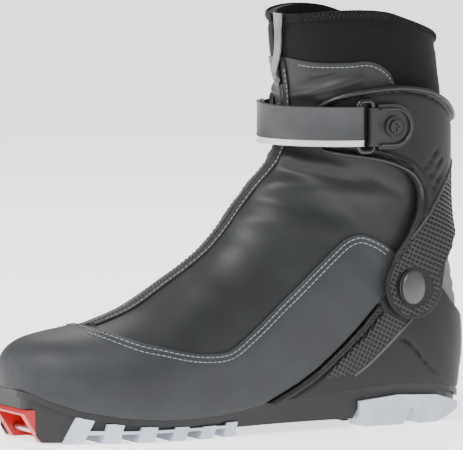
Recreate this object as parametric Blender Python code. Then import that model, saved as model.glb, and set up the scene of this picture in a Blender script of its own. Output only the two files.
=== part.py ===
"""Cross-country skate boot (left foot, EU 42) as separate solids.

Frame: +X towards the toe, +Y to the outer (lateral) side, +Z up, floor at z = 0.
All drawing sizes are millimetres; MM turns them into metres where meshes are made.
"""
import math

import bpy
import bmesh
import numpy as np
from mathutils import Matrix, Vector

MM = 0.001
GAP = 0.3

# ---------------------------------------------------------------- driving dimensions (mm)
HINGE_X, HINGE_Z = -99.5, 84.6          # cuff hinge axis, parallel to Y
STRAP_LOW, STRAP_HIGH = 170.0, 195.0     # height band of the cuff strap
RING_FRONT = (-61.0, 48.2)               # x, y of the ring's front bar (tail peels about it)
RING_REAR = (-70.8, 48.2)                # x, y of the ring's rear bar (ring swivels about it)
RING_WIRE = 1.6                          # radius of the ring's wire
TAB_SCREW = (-84.0, 182.5)               # x, z of the screw through the strap tab
CHANNEL_IN, CHANNEL_OUT = 9.5, 17.0      # |y| limits of the two binding guide channels
CHANNEL_TOP = 9.0
TOE_BAR_X, TOE_BAR_Z, TOE_BAR_RADIUS = 136.0, 6.5, 2.0
RIM_HEIGHT = 4.0                         # height of the chassis rim over its narrower core
HOUSING_HALF = 22.5                      # half width of the red toe insert
SLOT_HALF = 16.0                         # half width of the slot the binding jaw enters
BOARD_BACK, BOARD_FRONT = -141.0, 141.0  # ends of the foot cavity at the sole, before the boards' inset
BOARD_LOW, BOARD_TOP = 0.9, 2.9          # heights of the lasting board over the sole's top edge

# Sections of the upper, from the toe to the collar.  Each one is a plane square to the
# XZ plane that runs from a front (top) point to a back (bottom) point:
# front x, front z, back x, back z, half width lateral, half width medial,
# place of the widest point, foot width ratio, front roundness, back roundness
LAST = [
    (147.2, 44.5, 147.2, 22.0, 13.0, 13.0, 0.60, 0.95, 2.4, 2.4),
    (146.2, 49.5, 146.2, 21.0, 18.0, 19.0, 0.60, 0.92, 2.4, 2.4),
    (143.4, 54.3, 143.4, 19.5, 22.5, 24.5, 0.60, 0.88, 2.4, 2.4),
    (138.0, 57.8, 138.0, 17.0, 27.0, 30.5, 0.60, 0.82, 2.4, 2.3),
    (130.0, 60.4, 130.0, 15.0, 32.5, 36.5, 0.60, 0.78, 2.4, 2.3),
    (118.0, 62.7, 118.0, 11.5, 39.0, 42.5, 0.60, 0.74, 2.3, 2.3),
    (103.0, 65.0, 103.0, 8.5, 45.0, 46.5, 0.60, 0.75, 2.3, 2.3),
    (86.0, 69.8, 84.0, 5.6, 49.5, 48.0, 0.60, 0.77, 2.2, 2.3),
    (68.0, 77.2, 64.0, 4.5, 50.5, 46.0, 0.60, 0.77, 2.1, 2.3),
    (50.0, 88.6, 42.0, 4.5, 48.5, 42.0, 0.60, 0.75, 2.0, 2.3),
    (34.0, 98.8, 18.0, 7.0, 45.0, 37.5, 0.60, 0.72, 2.0, 2.3),
    (19.0, 110.0, -8.0, 11.0, 42.0, 35.0, 0.60, 0.66, 2.0, 2.3),
    (7.0, 123.0, -36.0, 14.0, 40.5, 34.5, 0.60, 0.58, 2.0, 2.2),
    (-3.0, 136.0, -66.0, 16.5, 40.0, 36.0, 0.58, 0.56, 2.0, 2.2),
    (-11.5, 145.6, -96.0, 18.0, 40.0, 37.0, 0.56, 0.55, 2.1, 2.2),
    (-18.5, 152.8, -122.0, 15.5, 40.0, 37.5, 0.56, 0.48, 2.1, 2.1),
    (-23.5, 158.2, -141.0, 15.0, 40.0, 38.0, 0.57, 0.28, 2.1, 2.1),
    (-27.0, 162.4, -148.0, 29.0, 40.0, 38.0, 0.58, 0.06, 2.1, 2.1),
    (-29.4, 166.4, -149.2, 45.0, 40.0, 38.0, 0.60, 0.05, 2.2, 2.1),
    (-31.4, 171.0, -147.6, 64.0, 40.0, 38.5, 0.60, 0.05, 2.2, 2.1),
    (-33.0, 177.0, -143.2, 92.0, 40.0, 39.0, 0.58, 0.05, 2.2, 2.1),
    (-34.2, 184.0, -138.9, 118.0, 40.5, 39.5, 0.55, 0.05, 2.3, 2.1),
    (-34.9, 192.0, -138.8, 145.0, 41.0, 40.0, 0.52, 0.05, 2.3, 2.1),
    (-34.6, 202.0, -138.8, 172.0, 41.5, 41.0, 0.50, 0.05, 2.3, 2.1),
    (-33.0, 214.0, -138.2, 196.0, 42.0, 42.0, 0.50, 0.05, 2.3, 2.1),
    (-30.4, 228.0, -135.2, 217.0, 43.0, 43.0, 0.50, 0.05, 2.3, 2.1),
    (-28.6, 258.0, -131.8, 249.0, 44.0, 44.0, 0.50, 0.05, 2.3, 2.1),
]
TOP = len(LAST) - 1
FRONT_STEPS, BACK_STEPS = 6, 5

# Side view of the line where the upper meets the sole, heel to toe (x, z)
SOLE_LINE = [(-155.0, 14.5), (-141.0, 20.2), (-126.0, 24.2), (-98.0, 25.9), (-72.0, 24.8),
             (-47.0, 22.7), (-28.0, 20.5), (-4.0, 18.0), (15.0, 15.0), (31.0, 12.9),
             (53.0, 12.3), (73.0, 13.0), (97.0, 15.4), (117.0, 19.2), (127.0, 22.3),
             (136.0, 25.8), (143.0, 29.4), (152.0, 32.0)]

# Half widths of the sole seen from above (x, lateral, medial)
SOLE_PLAN = [(-151.0, 5.0, 5.0), (-148.5, 12.0, 12.0), (-141.0, 21.5, 21.0), (-128.0, 29.0, 28.0),
             (-100.0, 33.5, 32.0), (-75.0, 34.0, 31.5), (-50.0, 33.5, 30.0), (-25.0, 35.0, 29.0),
             (0.0, 38.5, 31.0), (25.0, 43.5, 36.0), (50.0, 47.8, 42.0), (75.0, 48.3, 46.0),
             (100.0, 43.5, 46.5), (120.0, 36.5, 41.0), (135.0, 29.0, 32.0), (144.0, 24.0, 25.5),
             (148.5, 19.0, 19.5), (150.0, 14.0, 14.0)]

# Side view outlines (x, z)
WRAP_EDGE = [(104.0, 67.5), (97.0, 64.6), (88.7, 61.0), (79.4, 57.7), (69.1, 55.6), (52.5, 52.1),
             (37.0, 50.7), (23.8, 52.0), (11.5, 59.3), (0.4, 67.2), (-10.7, 76.2), (-24.6, 87.3),
             (-40.0, 100.4), (-52.0, 110.0), (-59.5, 114.8), (-68.4, 117.1), (-77.9, 114.0)]
COUNTER_FRONT = [(-2.0, 17.0), (-26.8, 29.2), (-39.0, 37.0), (-55.3, 50.7), (-67.6, 62.3),
                 (-76.4, 71.8)]
CUFF_TOP = [(-44.0, 190.0), (-46.5, 197.0), (-53.1, 201.8), (-63.6, 204.8), (-77.8, 206.8),
            (-89.5, 207.2), (-103.3, 205.4), (-114.2, 202.1), (-126.2, 195.5), (-136.8, 185.6),
            (-143.4, 179.1), (-156.0, 172.0)]
CUFF_LOW = [(-44.0, 176.0), (-47.1, 168.4), (-60.7, 164.8), (-77.7, 161.2), (-89.7, 156.8),
            (-97.3, 152.1), (-101.5, 146.2), (-103.0, 140.5), (-102.1, 130.9), (-99.0, 122.8),
            (-94.5, 114.0), (-87.0, 104.0)]
SOFTSHELL_TOP = [(-22.0, 224.5), (-29.3, 223.9), (-41.2, 220.8), (-58.7, 220.9), (-72.3, 221.5),
                 (-84.0, 215.7), (-92.0, 205.0), (-112.0, 197.0)]
RIM = [(-20.0, 246.0), (-30.8, 249.4), (-51.0, 252.2), (-67.4, 252.5), (-83.2, 250.9),
       (-97.3, 246.6), (-118.0, 240.0), (-132.0, 234.8), (-145.0, 230.0)]


# ---------------------------------------------------------------- small curve helpers
def smooth_curve(points, steps):
    """Catmull-Rom curve through the points, with the given steps per span."""
    p = np.array(points, dtype=float)
    padded = np.vstack([2 * p[0] - p[1], p, 2 * p[-1] - p[-2]])
    curve = []
    for i in range(1, len(padded) - 2):
        a, b, c, d = padded[i - 1:i + 3]
        for k in range(steps):
            t = k / steps
            curve.append(0.5 * (2 * b + (c - a) * t + (2 * a - 5 * b + 4 * c - d) * t ** 2
                                + (3 * b - a - 3 * c + d) * t ** 3))
    curve.append(p[-1])
    return np.array(curve)


def sole_height(x):
    """Height of the sole's top edge at x."""
    line = np.array(SOLE_LINE)
    return float(np.interp(x, line[:, 0], line[:, 1]))


def circle(cx, cz, radius, start=0.0, end=360.0, count=16):
    """Points of an arc; a full circle leaves out the repeated last point."""
    full = abs(end - start) >= 360.0
    angles = np.radians(np.linspace(start, end, count, endpoint=not full))
    return [(cx + radius * math.cos(a), cz + radius * math.sin(a)) for a in angles]


# ---------------------------------------------------------------- surface of the upper
def section(u):
    """Section values at a station number u, which may lie between two stations."""
    rows = np.array(LAST)
    i = int(min(max(math.floor(u), 0), TOP - 1))
    t = min(max(u - i, 0.0), 1.0)
    a = rows[i - 1] if i > 0 else 2 * rows[0] - rows[1]
    d = rows[i + 2] if i + 2 <= TOP else 2 * rows[TOP] - rows[TOP - 1]
    b, c = rows[i], rows[i + 1]
    return 0.5 * (2 * b + (c - a) * t + (2 * a - 5 * b + 4 * c - d) * t ** 2
                  + (3 * b - a - 3 * c + d) * t ** 3)


def skin_point(u, s, side):
    """Point on the upper: s runs from 0 on the front line to 1 on the back line."""
    fx, fz, bx, bz, lateral, medial, widest, foot, front_round, back_round = section(u)
    width = lateral if side > 0 else medial
    if s < 0.5:
        angle = s * math.pi
        depth = widest * (1 - max(math.cos(angle), 0.0) ** (2 / front_round))
        half = width * math.sin(angle) ** (2 / front_round)
    else:
        angle = (s - 0.5) * math.pi
        depth = widest + (1 - widest) * math.sin(angle) ** (2 / back_round)
        half = width * (foot + (1 - foot) * max(math.cos(angle), 0.0) ** (2 / back_round))
    return np.array([fx + depth * (bx - fx), side * half, fz + depth * (bz - fz)])


def skin_normal(u, s, side):
    """Outward unit normal of the upper."""
    du, ds = 0.05, 0.01
    u0, u1 = max(u - du, 0.0), min(u + du, TOP)
    s0, s1 = max(s - ds, 0.002), min(s + ds, 0.998)
    along = skin_point(u1, s, side) - skin_point(u0, s, side)
    around = skin_point(u, s1, side) - skin_point(u, s0, side)
    normal = np.cross(around, along) * side
    if s == 0.0:
        normal = np.array([along[2], 0.0, -along[0]])
        if normal[2] < 0 and u < TOP / 2:
            normal = -normal
        if normal[0] < 0 and u >= TOP / 2:
            normal = -normal
    return normal / max(np.linalg.norm(normal), 1e-9)


RING_PLACES = ([(0.5 * k / FRONT_STEPS, 1) for k in range(FRONT_STEPS + 1)]
               + [(0.5 + 0.5 * k / BACK_STEPS, 1) for k in range(1, BACK_STEPS + 1)]
               + [(0.5 + 0.5 * k / BACK_STEPS, -1) for k in range(BACK_STEPS, 0, -1)]
               + [(0.5 * k / FRONT_STEPS, -1) for k in range(FRONT_STEPS, 0, -1)])


def skin_ring(u, offset):
    """One ring of points round the upper, moved out along the normal by offset."""
    ring = []
    for s, side in RING_PLACES:
        point = skin_point(u, s, side)
        distance = offset(point) if callable(offset) else offset
        ring.append(point + distance * skin_normal(u, s, side))
    return ring


def side_y(x, z, side):
    """Y of the upper's surface seen from the side at (x, z)."""
    best = min(((np.hypot(p[0] - x, p[2] - z), p[1])
                for u in np.linspace(8, TOP, 90)
                for s in np.linspace(0.15, 0.9, 60)
                for p in [skin_point(u, s, side)]), key=lambda item: item[0])
    return best[1]


# ---------------------------------------------------------------- mesh helpers
def material(name, colour, roughness=0.6, metallic=0.0):
    """Principled material, shared by name."""
    found = bpy.data.materials.get(name)
    if found:
        return found
    made = bpy.data.materials.new(name)
    made.use_nodes = True
    shader = made.node_tree.nodes["Principled BSDF"]
    shader.inputs["Base Color"].default_value = (*colour, 1.0)
    shader.inputs["Roughness"].default_value = roughness
    shader.inputs["Metallic"].default_value = metallic
    return made


def new_object(name, points, faces, look=None):
    """Object from millimetre points and faces, with its normals made to point out."""
    mesh = bpy.data.meshes.new(name)
    mesh.from_pydata([tuple(float(c) * MM for c in p) for p in points], [], faces)
    work = bmesh.new()
    work.from_mesh(mesh)
    bmesh.ops.recalc_face_normals(work, faces=work.faces[:])
    if work.calc_volume(signed=True) < 0:
        bmesh.ops.reverse_faces(work, faces=work.faces[:])
    work.to_mesh(mesh)
    work.free()
    made = bpy.data.objects.new(name, mesh)
    bpy.context.collection.objects.link(made)
    if look:
        mesh.materials.append(look)
    return made


def prism(outline, low, high, axis="y"):
    """Solid from a closed outline: (x, z) drawn out along y, or (x, y) along z."""
    count = len(outline)
    if axis == "y":
        points = [(a, low, b) for a, b in outline] + [(a, high, b) for a, b in outline]
    else:
        points = [(a, b, low) for a, b in outline] + [(a, b, high) for a, b in outline]
    faces = [list(range(count)), list(range(2 * count - 1, count - 1, -1))]
    faces += [[i, (i + 1) % count, count + (i + 1) % count, count + i] for i in range(count)]
    return new_object("prism", points, faces)


def box(x0, x1, y0, y1, z0, z1):
    """Axis-aligned block."""
    return prism([(x0, z0), (x1, z0), (x1, z1), (x0, z1)], y0, y1)


def rod(start, end, radius, sides=16):
    """Round bar between two points."""
    a, b = Vector(start), Vector(end)
    turn = (b - a).to_track_quat("Z", "Y")
    rings = []
    for centre in (a, b):
        for k in range(sides):
            angle = 2 * math.pi * k / sides
            rings.append(centre + turn @ Vector((radius * math.cos(angle), radius * math.sin(angle), 0)))
    faces = [list(range(sides)), list(range(2 * sides - 1, sides - 1, -1))]
    faces += [[k, (k + 1) % sides, sides + (k + 1) % sides, sides + k] for k in range(sides)]
    return new_object("rod", rings, faces)


def split_large_faces(thing):
    """Triangulate the faces with more than four corners."""
    work = bmesh.new()
    work.from_mesh(thing.data)
    bmesh.ops.triangulate(work, faces=[f for f in work.faces if len(f.verts) > 4])
    work.to_mesh(thing.data)
    work.free()


def bake_boolean(piece, tool, operation):
    """Apply one Boolean to the piece and remove the tool."""
    split_large_faces(piece)
    split_large_faces(tool)
    modifier = piece.modifiers.new(operation, "BOOLEAN")
    modifier.operation = operation
    modifier.solver = "EXACT"
    modifier.object = tool
    bpy.context.view_layer.update()
    result = bpy.data.meshes.new_from_object(piece.evaluated_get(bpy.context.evaluated_depsgraph_get()))
    piece.modifiers.clear()
    piece.data = result
    bpy.data.objects.remove(tool)
    return piece


def keep(piece, tool):
    """Keep what lies inside the tool."""
    return bake_boolean(piece, tool, "INTERSECT")


def cut(piece, tool):
    """Take the tool's volume away."""
    return bake_boolean(piece, tool, "DIFFERENCE")


def join(piece, tool):
    """Add the tool's volume."""
    return bake_boolean(piece, tool, "UNION")


def finish(piece, name, look, sharp=40.0):
    """Merge flat neighbours, settle the triangles, then name the piece and give it its material."""
    work = bmesh.new()
    work.from_mesh(piece.data)
    bmesh.ops.remove_doubles(work, verts=work.verts[:], dist=0.01 * MM)
    bmesh.ops.dissolve_degenerate(work, edges=work.edges[:], dist=0.01 * MM)
    bmesh.ops.dissolve_limit(work, angle_limit=math.radians(0.05), verts=work.verts[:], edges=work.edges[:])
    bmesh.ops.triangulate(work, faces=work.faces[:])
    work.to_mesh(piece.data)
    work.free()
    piece.name = name
    piece.data.name = name
    piece.data.materials.clear()
    piece.data.materials.append(look)
    piece.data.shade_smooth()
    piece.data.set_sharp_from_angle(angle=math.radians(sharp))
    return piece


def shell(inner, outer, first=0, last=TOP):
    """Layer of the upper between two offsets, from station first to last.

    It is a cup closed round the toe when it starts at station 0, else an open sleeve.
    """
    stations = range(first, last + 1)
    count = len(RING_PLACES)
    points, faces = [], []
    for offset in (outer, inner):
        for u in stations:
            points += list(skin_ring(u, offset))
    layer = len(stations) * count
    for base in (0, layer):
        for r in range(len(stations) - 1):
            for k in range(count):
                a, b = base + r * count + k, base + r * count + (k + 1) % count
                quad = [a, b, b + count, a + count]
                faces.append(quad if base == 0 else quad[::-1])
    open_ends = [len(stations) - 1] if first == 0 else [0, len(stations) - 1]
    for end in open_ends:
        for k in range(count):
            a, b = end * count + k, end * count + (k + 1) % count
            faces.append([a, b, b + layer, a + layer])
    if first == 0:
        for base, offset in ((0, outer), (layer, inner)):
            ring = np.array(points[base:base + count])
            centre = ring.mean(axis=0)
            points.append(centre)
            pole = len(points) - 1
            faces += [[base + k, base + (k + 1) % count, pole] for k in range(count)]
    return new_object("shell", points, faces)


def core(offset):
    """Solid of everything inside the upper's surface moved out by offset."""
    count = len(RING_PLACES)
    points, faces = [], []
    for u in range(TOP + 1):
        points += list(skin_ring(u, offset))
    for r in range(TOP):
        for k in range(count):
            a, b = r * count + k, r * count + (k + 1) % count
            faces.append([a, b, b + count, a + count])
    faces.append(list(range(count))[::-1])
    faces.append([TOP * count + k for k in range(count)])
    return new_object("core", points, faces)


def inner_half_width(x, z, side):
    """Half width of the upper's inner surface at (x, z)."""
    reach = [skin_point(u, s, side) for u in np.linspace(1.0, 18.0, 120) for s in np.linspace(0.5, 0.98, 40)]
    near = sorted(reach, key=lambda p: math.hypot(p[0] - x, p[2] - z))[:6]
    return min(abs(p[1]) for p in near)


def above_sole(extra):
    """Side-view block over the sole's top edge raised by extra."""
    line = [(x, z + extra) for x, z in SOLE_LINE]
    return prism([(-200.0, line[0][1])] + line + [(200.0, line[-1][1]), (200.0, 320.0), (-200.0, 320.0)],
                 -120.0, 120.0)


def sole_outline(inset, x_min=-400.0, x_max=400.0):
    """Plan outline of the sole, moved in by inset."""
    rows = smooth_curve(SOLE_PLAN, 2)
    rows = rows[(rows[:, 0] >= x_min) & (rows[:, 0] <= x_max)]
    loop = np.array([(x, lateral) for x, lateral, _ in rows] + [(x, -medial) for x, _, medial in rows[::-1]])
    before, after = np.roll(loop, 1, axis=0), np.roll(loop, -1, axis=0)
    tangent = after - before
    normal = np.stack([tangent[:, 1], -tangent[:, 0]], axis=1)
    normal /= np.linalg.norm(normal, axis=1)[:, None]
    return [tuple(p) for p in loop + inset * normal]


def ribbon(line, low, high, y0, y1):
    """Strip that follows a side-view line, between two heights along the line's normal."""
    p = np.array(line, dtype=float)
    tangent = np.gradient(p, axis=0)
    normal = np.stack([-tangent[:, 1], tangent[:, 0]], axis=1)
    normal /= np.linalg.norm(normal, axis=1)[:, None]
    if normal[0].sum() < 0:
        normal = -normal
    outline = [tuple(q) for q in p + high * normal] + [tuple(q) for q in (p + low * normal)[::-1]]
    return prism(outline, y0, y1)


def front_line(first, last, count):
    """Points on the front centre line between two stations."""
    return [tuple(section(u)[:2]) for u in np.linspace(first, last, count)]


def band(path, low, high, thickness):
    """Upright strap: a plan path (x, y) thickened to its left and drawn from low to high."""
    p = np.array(path, dtype=float)
    tangent = np.gradient(p, axis=0)
    normal = np.stack([-tangent[:, 1], tangent[:, 0]], axis=1)
    normal /= np.linalg.norm(normal, axis=1)[:, None]
    outline = [tuple(q) for q in p] + [tuple(q) for q in (p + thickness * normal)[::-1]]
    return prism(outline, low, high, axis="z")


# ---------------------------------------------------------------- materials
BLACK_PLASTIC = material("black_plastic", (0.035, 0.036, 0.038), 0.45)
MOULDED = material("moulded_olive_black", (0.075, 0.078, 0.072), 0.5)
LEATHER = material("charcoal_leather", (0.085, 0.09, 0.098), 0.6)
SOFTSHELL = material("softshell", (0.06, 0.063, 0.068), 0.5)
WHITE_RUBBER = material("white_rubber", (0.72, 0.76, 0.84), 0.6)
RED_PLASTIC = material("red_plastic", (0.75, 0.02, 0.015), 0.4)
STEEL = material("steel", (0.6, 0.6, 0.58), 0.3, 1.0)
FOAM = material("foam", (0.02, 0.02, 0.022), 0.9)
NEOPRENE = material("neoprene", (0.018, 0.018, 0.02), 0.8)
GREY_FABRIC = material("grey_fabric", (0.33, 0.34, 0.33), 0.8)
WEBBING = material("webbing", (0.4, 0.4, 0.39), 0.8)
STRAP = material("strap", (0.12, 0.125, 0.13), 0.55)
BOARD = material("fibre_board", (0.3, 0.25, 0.18), 0.9)
CARBON = material("shank_composite", (0.03, 0.03, 0.035), 0.35)
DOME = material("pivot_dome", (0.13, 0.135, 0.125), 0.35)


# ---------------------------------------------------------------- sole
def make_chassis():
    """Black sole: a full-width rim under the upper on a narrower core."""
    line = SOLE_LINE
    rim_side = line + [(x, z - RIM_HEIGHT) for x, z in line[::-1]]
    rim = keep(prism(sole_outline(0.0), -5.0, 40.0, "z"), prism(rim_side, -80.0, 80.0))
    nose_low = [(152.0, 18.0), (138.5, 0.5), (126.0, 0.5), (121.0, 5.0), (22.0, 5.0), (-66.0, 5.0),
                (-68.8, 10.5), (-155.0, 10.5)]
    core_side = [(x, z - RIM_HEIGHT + 0.1) for x, z in line] + nose_low
    core = keep(prism(sole_outline(2.2), -5.0, 40.0, "z"), prism(core_side, -80.0, 80.0))
    chassis = join(rim, core)
    rib = CHANNEL_IN - GAP
    join(chassis, box(26.0, 122.0, -rib, rib, 1.0, 6.0))
    join(chassis, box(-139.0, -71.0, -rib, rib, 1.0, 11.0))
    for side in (-1, 1):
        y0, y1 = sorted((side * CHANNEL_IN, side * CHANNEL_OUT))
        cut(chassis, box(-160.0, 118.0, y0, y1, -2.0, CHANNEL_TOP))
    cut(chassis, box(125.0, 160.0, -HOUSING_HALF - GAP, HOUSING_HALF + GAP, -2.0, 20.0 + GAP))
    shank = [(x, sole_height(x)) for x in np.linspace(-122.0, 62.0, 9)]
    cut(chassis, prism([(x, z - 2.2) for x, z in shank] + [(x, z + 5.0) for x, z in shank[::-1]],
                       -18.3, 18.3))
    return finish(chassis, "outsole_chassis", BLACK_PLASTIC)


def make_shank():
    """Stiffening plate let into the top of the sole."""
    line = [(x, sole_height(x)) for x in np.linspace(-122.0, 62.0, 9)]
    line[0] = (line[0][0] + GAP, line[0][1])
    line[-1] = (line[-1][0] - GAP, line[-1][1])
    outline = [(x, z - 1.9) for x, z in line] + [(x, z - 0.3) for x, z in line[::-1]]
    return finish(prism(outline, -18.0, 18.0), "shank_plate", CARBON)


def below_rim():
    """Side-view block under the chassis rim."""
    line = [(x, z - RIM_HEIGHT - GAP) for x, z in SOLE_LINE]
    return prism(line + [(200.0, 27.0), (200.0, -20.0), (-200.0, -20.0), (-200.0, 10.0)], -90.0, 90.0)


def lug(x_front, x_back, top, slope):
    """Side outline of one tread lug, leaning back by slope towards its top."""
    return [(x_front, 0.0), (x_front - slope, top), (x_back - slope, top), (x_back, 0.0)]


def make_forefoot_tread(side, name):
    """Strip of six lugs along one edge of the forefoot."""
    strip = prism([(121.0, 5.3), (121.0, 8.0), (90.0, 7.0), (20.0, 7.0), (20.0, 5.3)], -70.0, 70.0)
    for x_front, x_back, top, slope in ((128.5, 118.0, 15.8, 7.5), (106.8, 97.0, 11.6, 3.0),
                                        (86.5, 76.3, 9.2, 3.0), (65.0, 55.7, 8.2, 3.0),
                                        (45.8, 36.0, 7.4, 3.0), (27.5, 19.6, 8.6, 2.0)):
        join(strip, prism(lug(x_front, x_back, top, slope), -70.0, 70.0))
    keep(strip, prism(sole_outline(-0.8), -1.0, 30.0, "z"))
    y0, y1 = sorted((side * (CHANNEL_OUT + GAP), side * 70.0))
    keep(strip, box(-160.0, 160.0, y0, y1, -1.0, 40.0))
    y0, y1 = sorted((0.0, side * (HOUSING_HALF + 2 * GAP)))
    cut(strip, box(120.7, 160.0, y0, y1, -2.0, 30.0))
    under = 5.0 - GAP
    room = prism([(-200.0, under), (119.2, under), (125.6, -1.2), (170.0, -1.2), (170.0, 45.0), (-200.0, 45.0)],
                 -80.0, 80.0)
    cut(strip, keep(prism(sole_outline(2.2 - GAP), -2.0, 40.0, "z"), room))
    keep(strip, below_rim())
    return finish(strip, name, WHITE_RUBBER)


def make_heel_tread(side, name):
    """Heel tread with a V notch, wrapped a little way up the heel's side."""
    side_outline = [(-72.0, 0.0), (-69.3, 4.5), (-69.3, 15.6), (-96.0, 18.2), (-124.0, 16.6), (-144.0, 10.8),
                    (-150.0, 8.0), (-124.0, 0.0), (-110.0, 0.0), (-106.8, 9.5), (-104.7, 9.5), (-99.4, 0.0)]
    tread = prism(side_outline, -70.0, 70.0)
    keep(tread, prism(sole_outline(-0.8), -1.0, 30.0, "z"))
    y0, y1 = sorted((side * (CHANNEL_OUT + GAP), side * 70.0))
    keep(tread, box(-160.0, 0.0, y0, y1, -1.0, 40.0))
    cut(tread, prism(sole_outline(2.2 - GAP), 10.5 - GAP, 40.0, "z"))
    keep(tread, below_rim())
    return finish(tread, name, WHITE_RUBBER)


def make_toe_bar_housing():
    """Red insert that carries the toe bar, open below and in front."""
    outline = [(125.3, 0.5), (138.0, 0.5), (149.3, 18.0), (147.5, 20.0), (125.3, 20.0)]
    housing = prism(outline, -HOUSING_HALF, HOUSING_HALF)
    cut(housing, prism([(129.0, -3.0), (160.0, -3.0), (160.0, 16.5), (140.0, 16.5), (129.0, 9.0)],
                       -SLOT_HALF, SLOT_HALF))
    cut(housing, rod((TOE_BAR_X, -20.0, TOE_BAR_Z), (TOE_BAR_X, 20.0, TOE_BAR_Z),
                     TOE_BAR_RADIUS + GAP))
    return finish(housing, "toe_bar_housing", RED_PLASTIC)


def make_toe_bar():
    """Steel bar the binding clamps."""
    bar = rod((TOE_BAR_X, -19.7, TOE_BAR_Z), (TOE_BAR_X, 19.7, TOE_BAR_Z), TOE_BAR_RADIUS)
    return finish(bar, "toe_bar", STEEL)


def make_board(name, look, low, high, inset):
    """Plate that follows the sole's top edge inside the upper."""
    line = [(x, sole_height(x)) for x in np.linspace(BOARD_BACK + inset, BOARD_FRONT - inset, 20)]
    points, faces = [], []
    for k, (x, z) in enumerate(line):
        closing = math.sqrt(1.0 - ((k - 9.5) / 10.2) ** 8)
        lateral = (inner_half_width(x, z + low, 1) - inset) * closing
        medial = (inner_half_width(x, z + low, -1) - inset) * closing
        points += [(x, lateral, z + low), (x, -medial, z + low), (x, -medial, z + high), (x, lateral, z + high)]
    for k in range(len(line) - 1):
        for c in range(4):
            a, b = 4 * k + c, 4 * k + (c + 1) % 4
            faces.append([a, b, b + 4, a + 4])
    last = 4 * (len(line) - 1)
    faces += [[3, 2, 1, 0], [last, last + 1, last + 2, last + 3]]
    return finish(new_object("board", points, faces), name, look)


# ---------------------------------------------------------------- soft upper
FOOT_RAY, FOOT_BACK_RAY = 16.0, 199.0
SHAFT_RAY, SHAFT_BACK_RAY = 38.0, 143.0
COLLAR_LOW = 198.0
THROAT_HALF = 2.0


def from_hinge(angle, radius, lift):
    """Point at an angle and distance from the hinge, raised by lift."""
    a = math.radians(angle)
    return (HINGE_X + radius * math.cos(a), HINGE_Z + lift + radius * math.sin(a))


def foot_zone(lift=-5.0):
    """Region of the upper that stays with the foot."""
    return [from_hinge(0.0, 0.0, lift), from_hinge(FOOT_RAY, 300.0, lift), (200.0, -30.0), (-200.0, -30.0),
            from_hinge(FOOT_BACK_RAY, 100.0, lift)]


def shaft_zone(lift=5.0, top=COLLAR_LOW - GAP):
    """Region of the upper that moves with the cuff."""
    return [from_hinge(0.0, 0.0, lift), from_hinge(SHAFT_BACK_RAY, 100.0, lift), (-200.0, top), (60.0, top),
            from_hinge(SHAFT_RAY, 130.0, lift)]


def throat():
    """Cutter for the slit under the zip, through the front wall only."""
    return box(-60.0, 84.0, -THROAT_HALF, THROAT_HALF, 60.0, 300.0)


def make_padding():
    """Padded lining: foot, ankle and shaft parts."""
    def layer(first, last):
        return cut(shell(-7.0, -1.6, first, last), throat())

    foot = keep(keep(layer(0, 20), prism(foot_zone(), -120.0, 120.0)), above_sole(GAP))
    shaft = keep(layer(12, TOP), prism(shaft_zone(), -120.0, 120.0))
    ankle = cut(layer(9, 24), prism(foot_zone(-5.0 + 2 * GAP), -120.0, 120.0))
    cut(ankle, prism(shaft_zone(5.0 - 2 * GAP, 400.0), -120.0, 120.0))
    finish(foot, "foot_padding", FOAM)
    finish(ankle, "ankle_padding", FOAM)
    finish(shaft, "shaft_padding", FOAM)


def make_tongue():
    """Padded tongue inside the throat."""
    line = front_line(7.5, TOP - 0.6, 14)
    return finish(ribbon(line, -15.0, -12.0, -9.0, 9.0), "tongue", FOAM)


def make_toe_puff():
    """Stiffener that holds the toe box's shape."""
    piece = shell(-1.2, 0.0, 0, 8)
    keep(piece, box(106.0, 200.0, -80.0, 80.0, -10.0, 120.0))
    keep(piece, above_sole(GAP))
    return finish(piece, "toe_puff", BOARD)


def make_toe_wrap():
    """Leather overlay round the toe and along both sides."""
    piece = shell(0.5, 1.7, 0, 19)
    outline = ([(170.0, 67.5)] + WRAP_EDGE + [(-79.0, 108.0), (-79.5, 94.0), (-78.5, 84.0)]
               + [(x + 1.6, z + 0.4) for x, z in COUNTER_FRONT[::-1]] + [(8.0, 5.0), (170.0, 5.0)])
    keep(piece, prism(outline, -120.0, 120.0))
    keep(piece, above_sole(GAP))
    return finish(piece, "toe_wrap", LEATHER)


def make_softshell(side, name):
    """One gaiter panel, from under the overlay's seam up to the collar."""
    seam = [(x, z - 8.0) for x, z in WRAP_EDGE[1:]]
    outline = ([(96.5, 120.0), (96.5, 57.0)] + seam[1:] + [(-88.0, 99.0), (-100.0, 101.0), (-112.0, 104.0)]
               + SOFTSHELL_TOP[::-1] + [(-10.0, 224.5), (30.0, 160.0)])
    piece = shell(-1.0, 0.0, 5, 26)
    y0, y1 = sorted((side * 3.4, side * 90.0))
    keep(piece, prism(outline, y0, y1))
    return finish(piece, name, SOFTSHELL)


def make_achilles_panel():
    """Light grey panel at the back, between heel counter and cuff."""
    outline = [(-112.4, 196.0), (-180.0, 196.0), (-180.0, 45.0), (-126.0, 62.0), (-112.4, 84.0)]
    piece = shell(-1.0, 0.0, 16, 26)
    keep(piece, prism(outline, -90.0, 90.0))
    return finish(piece, "achilles_panel", GREY_FABRIC)


def make_collar():
    """Neoprene collar with a V opening at the front."""
    piece = shell(-6.5, -1.6, 22, TOP)
    outline = [(x, z - 0.9) for x, z in RIM] + [(-180.0, COLLAR_LOW), (20.0, COLLAR_LOW)]
    keep(piece, prism(outline, -90.0, 90.0))
    cut(piece, collar_opening(0.0))
    return finish(piece, "collar", NEOPRENE)


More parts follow.
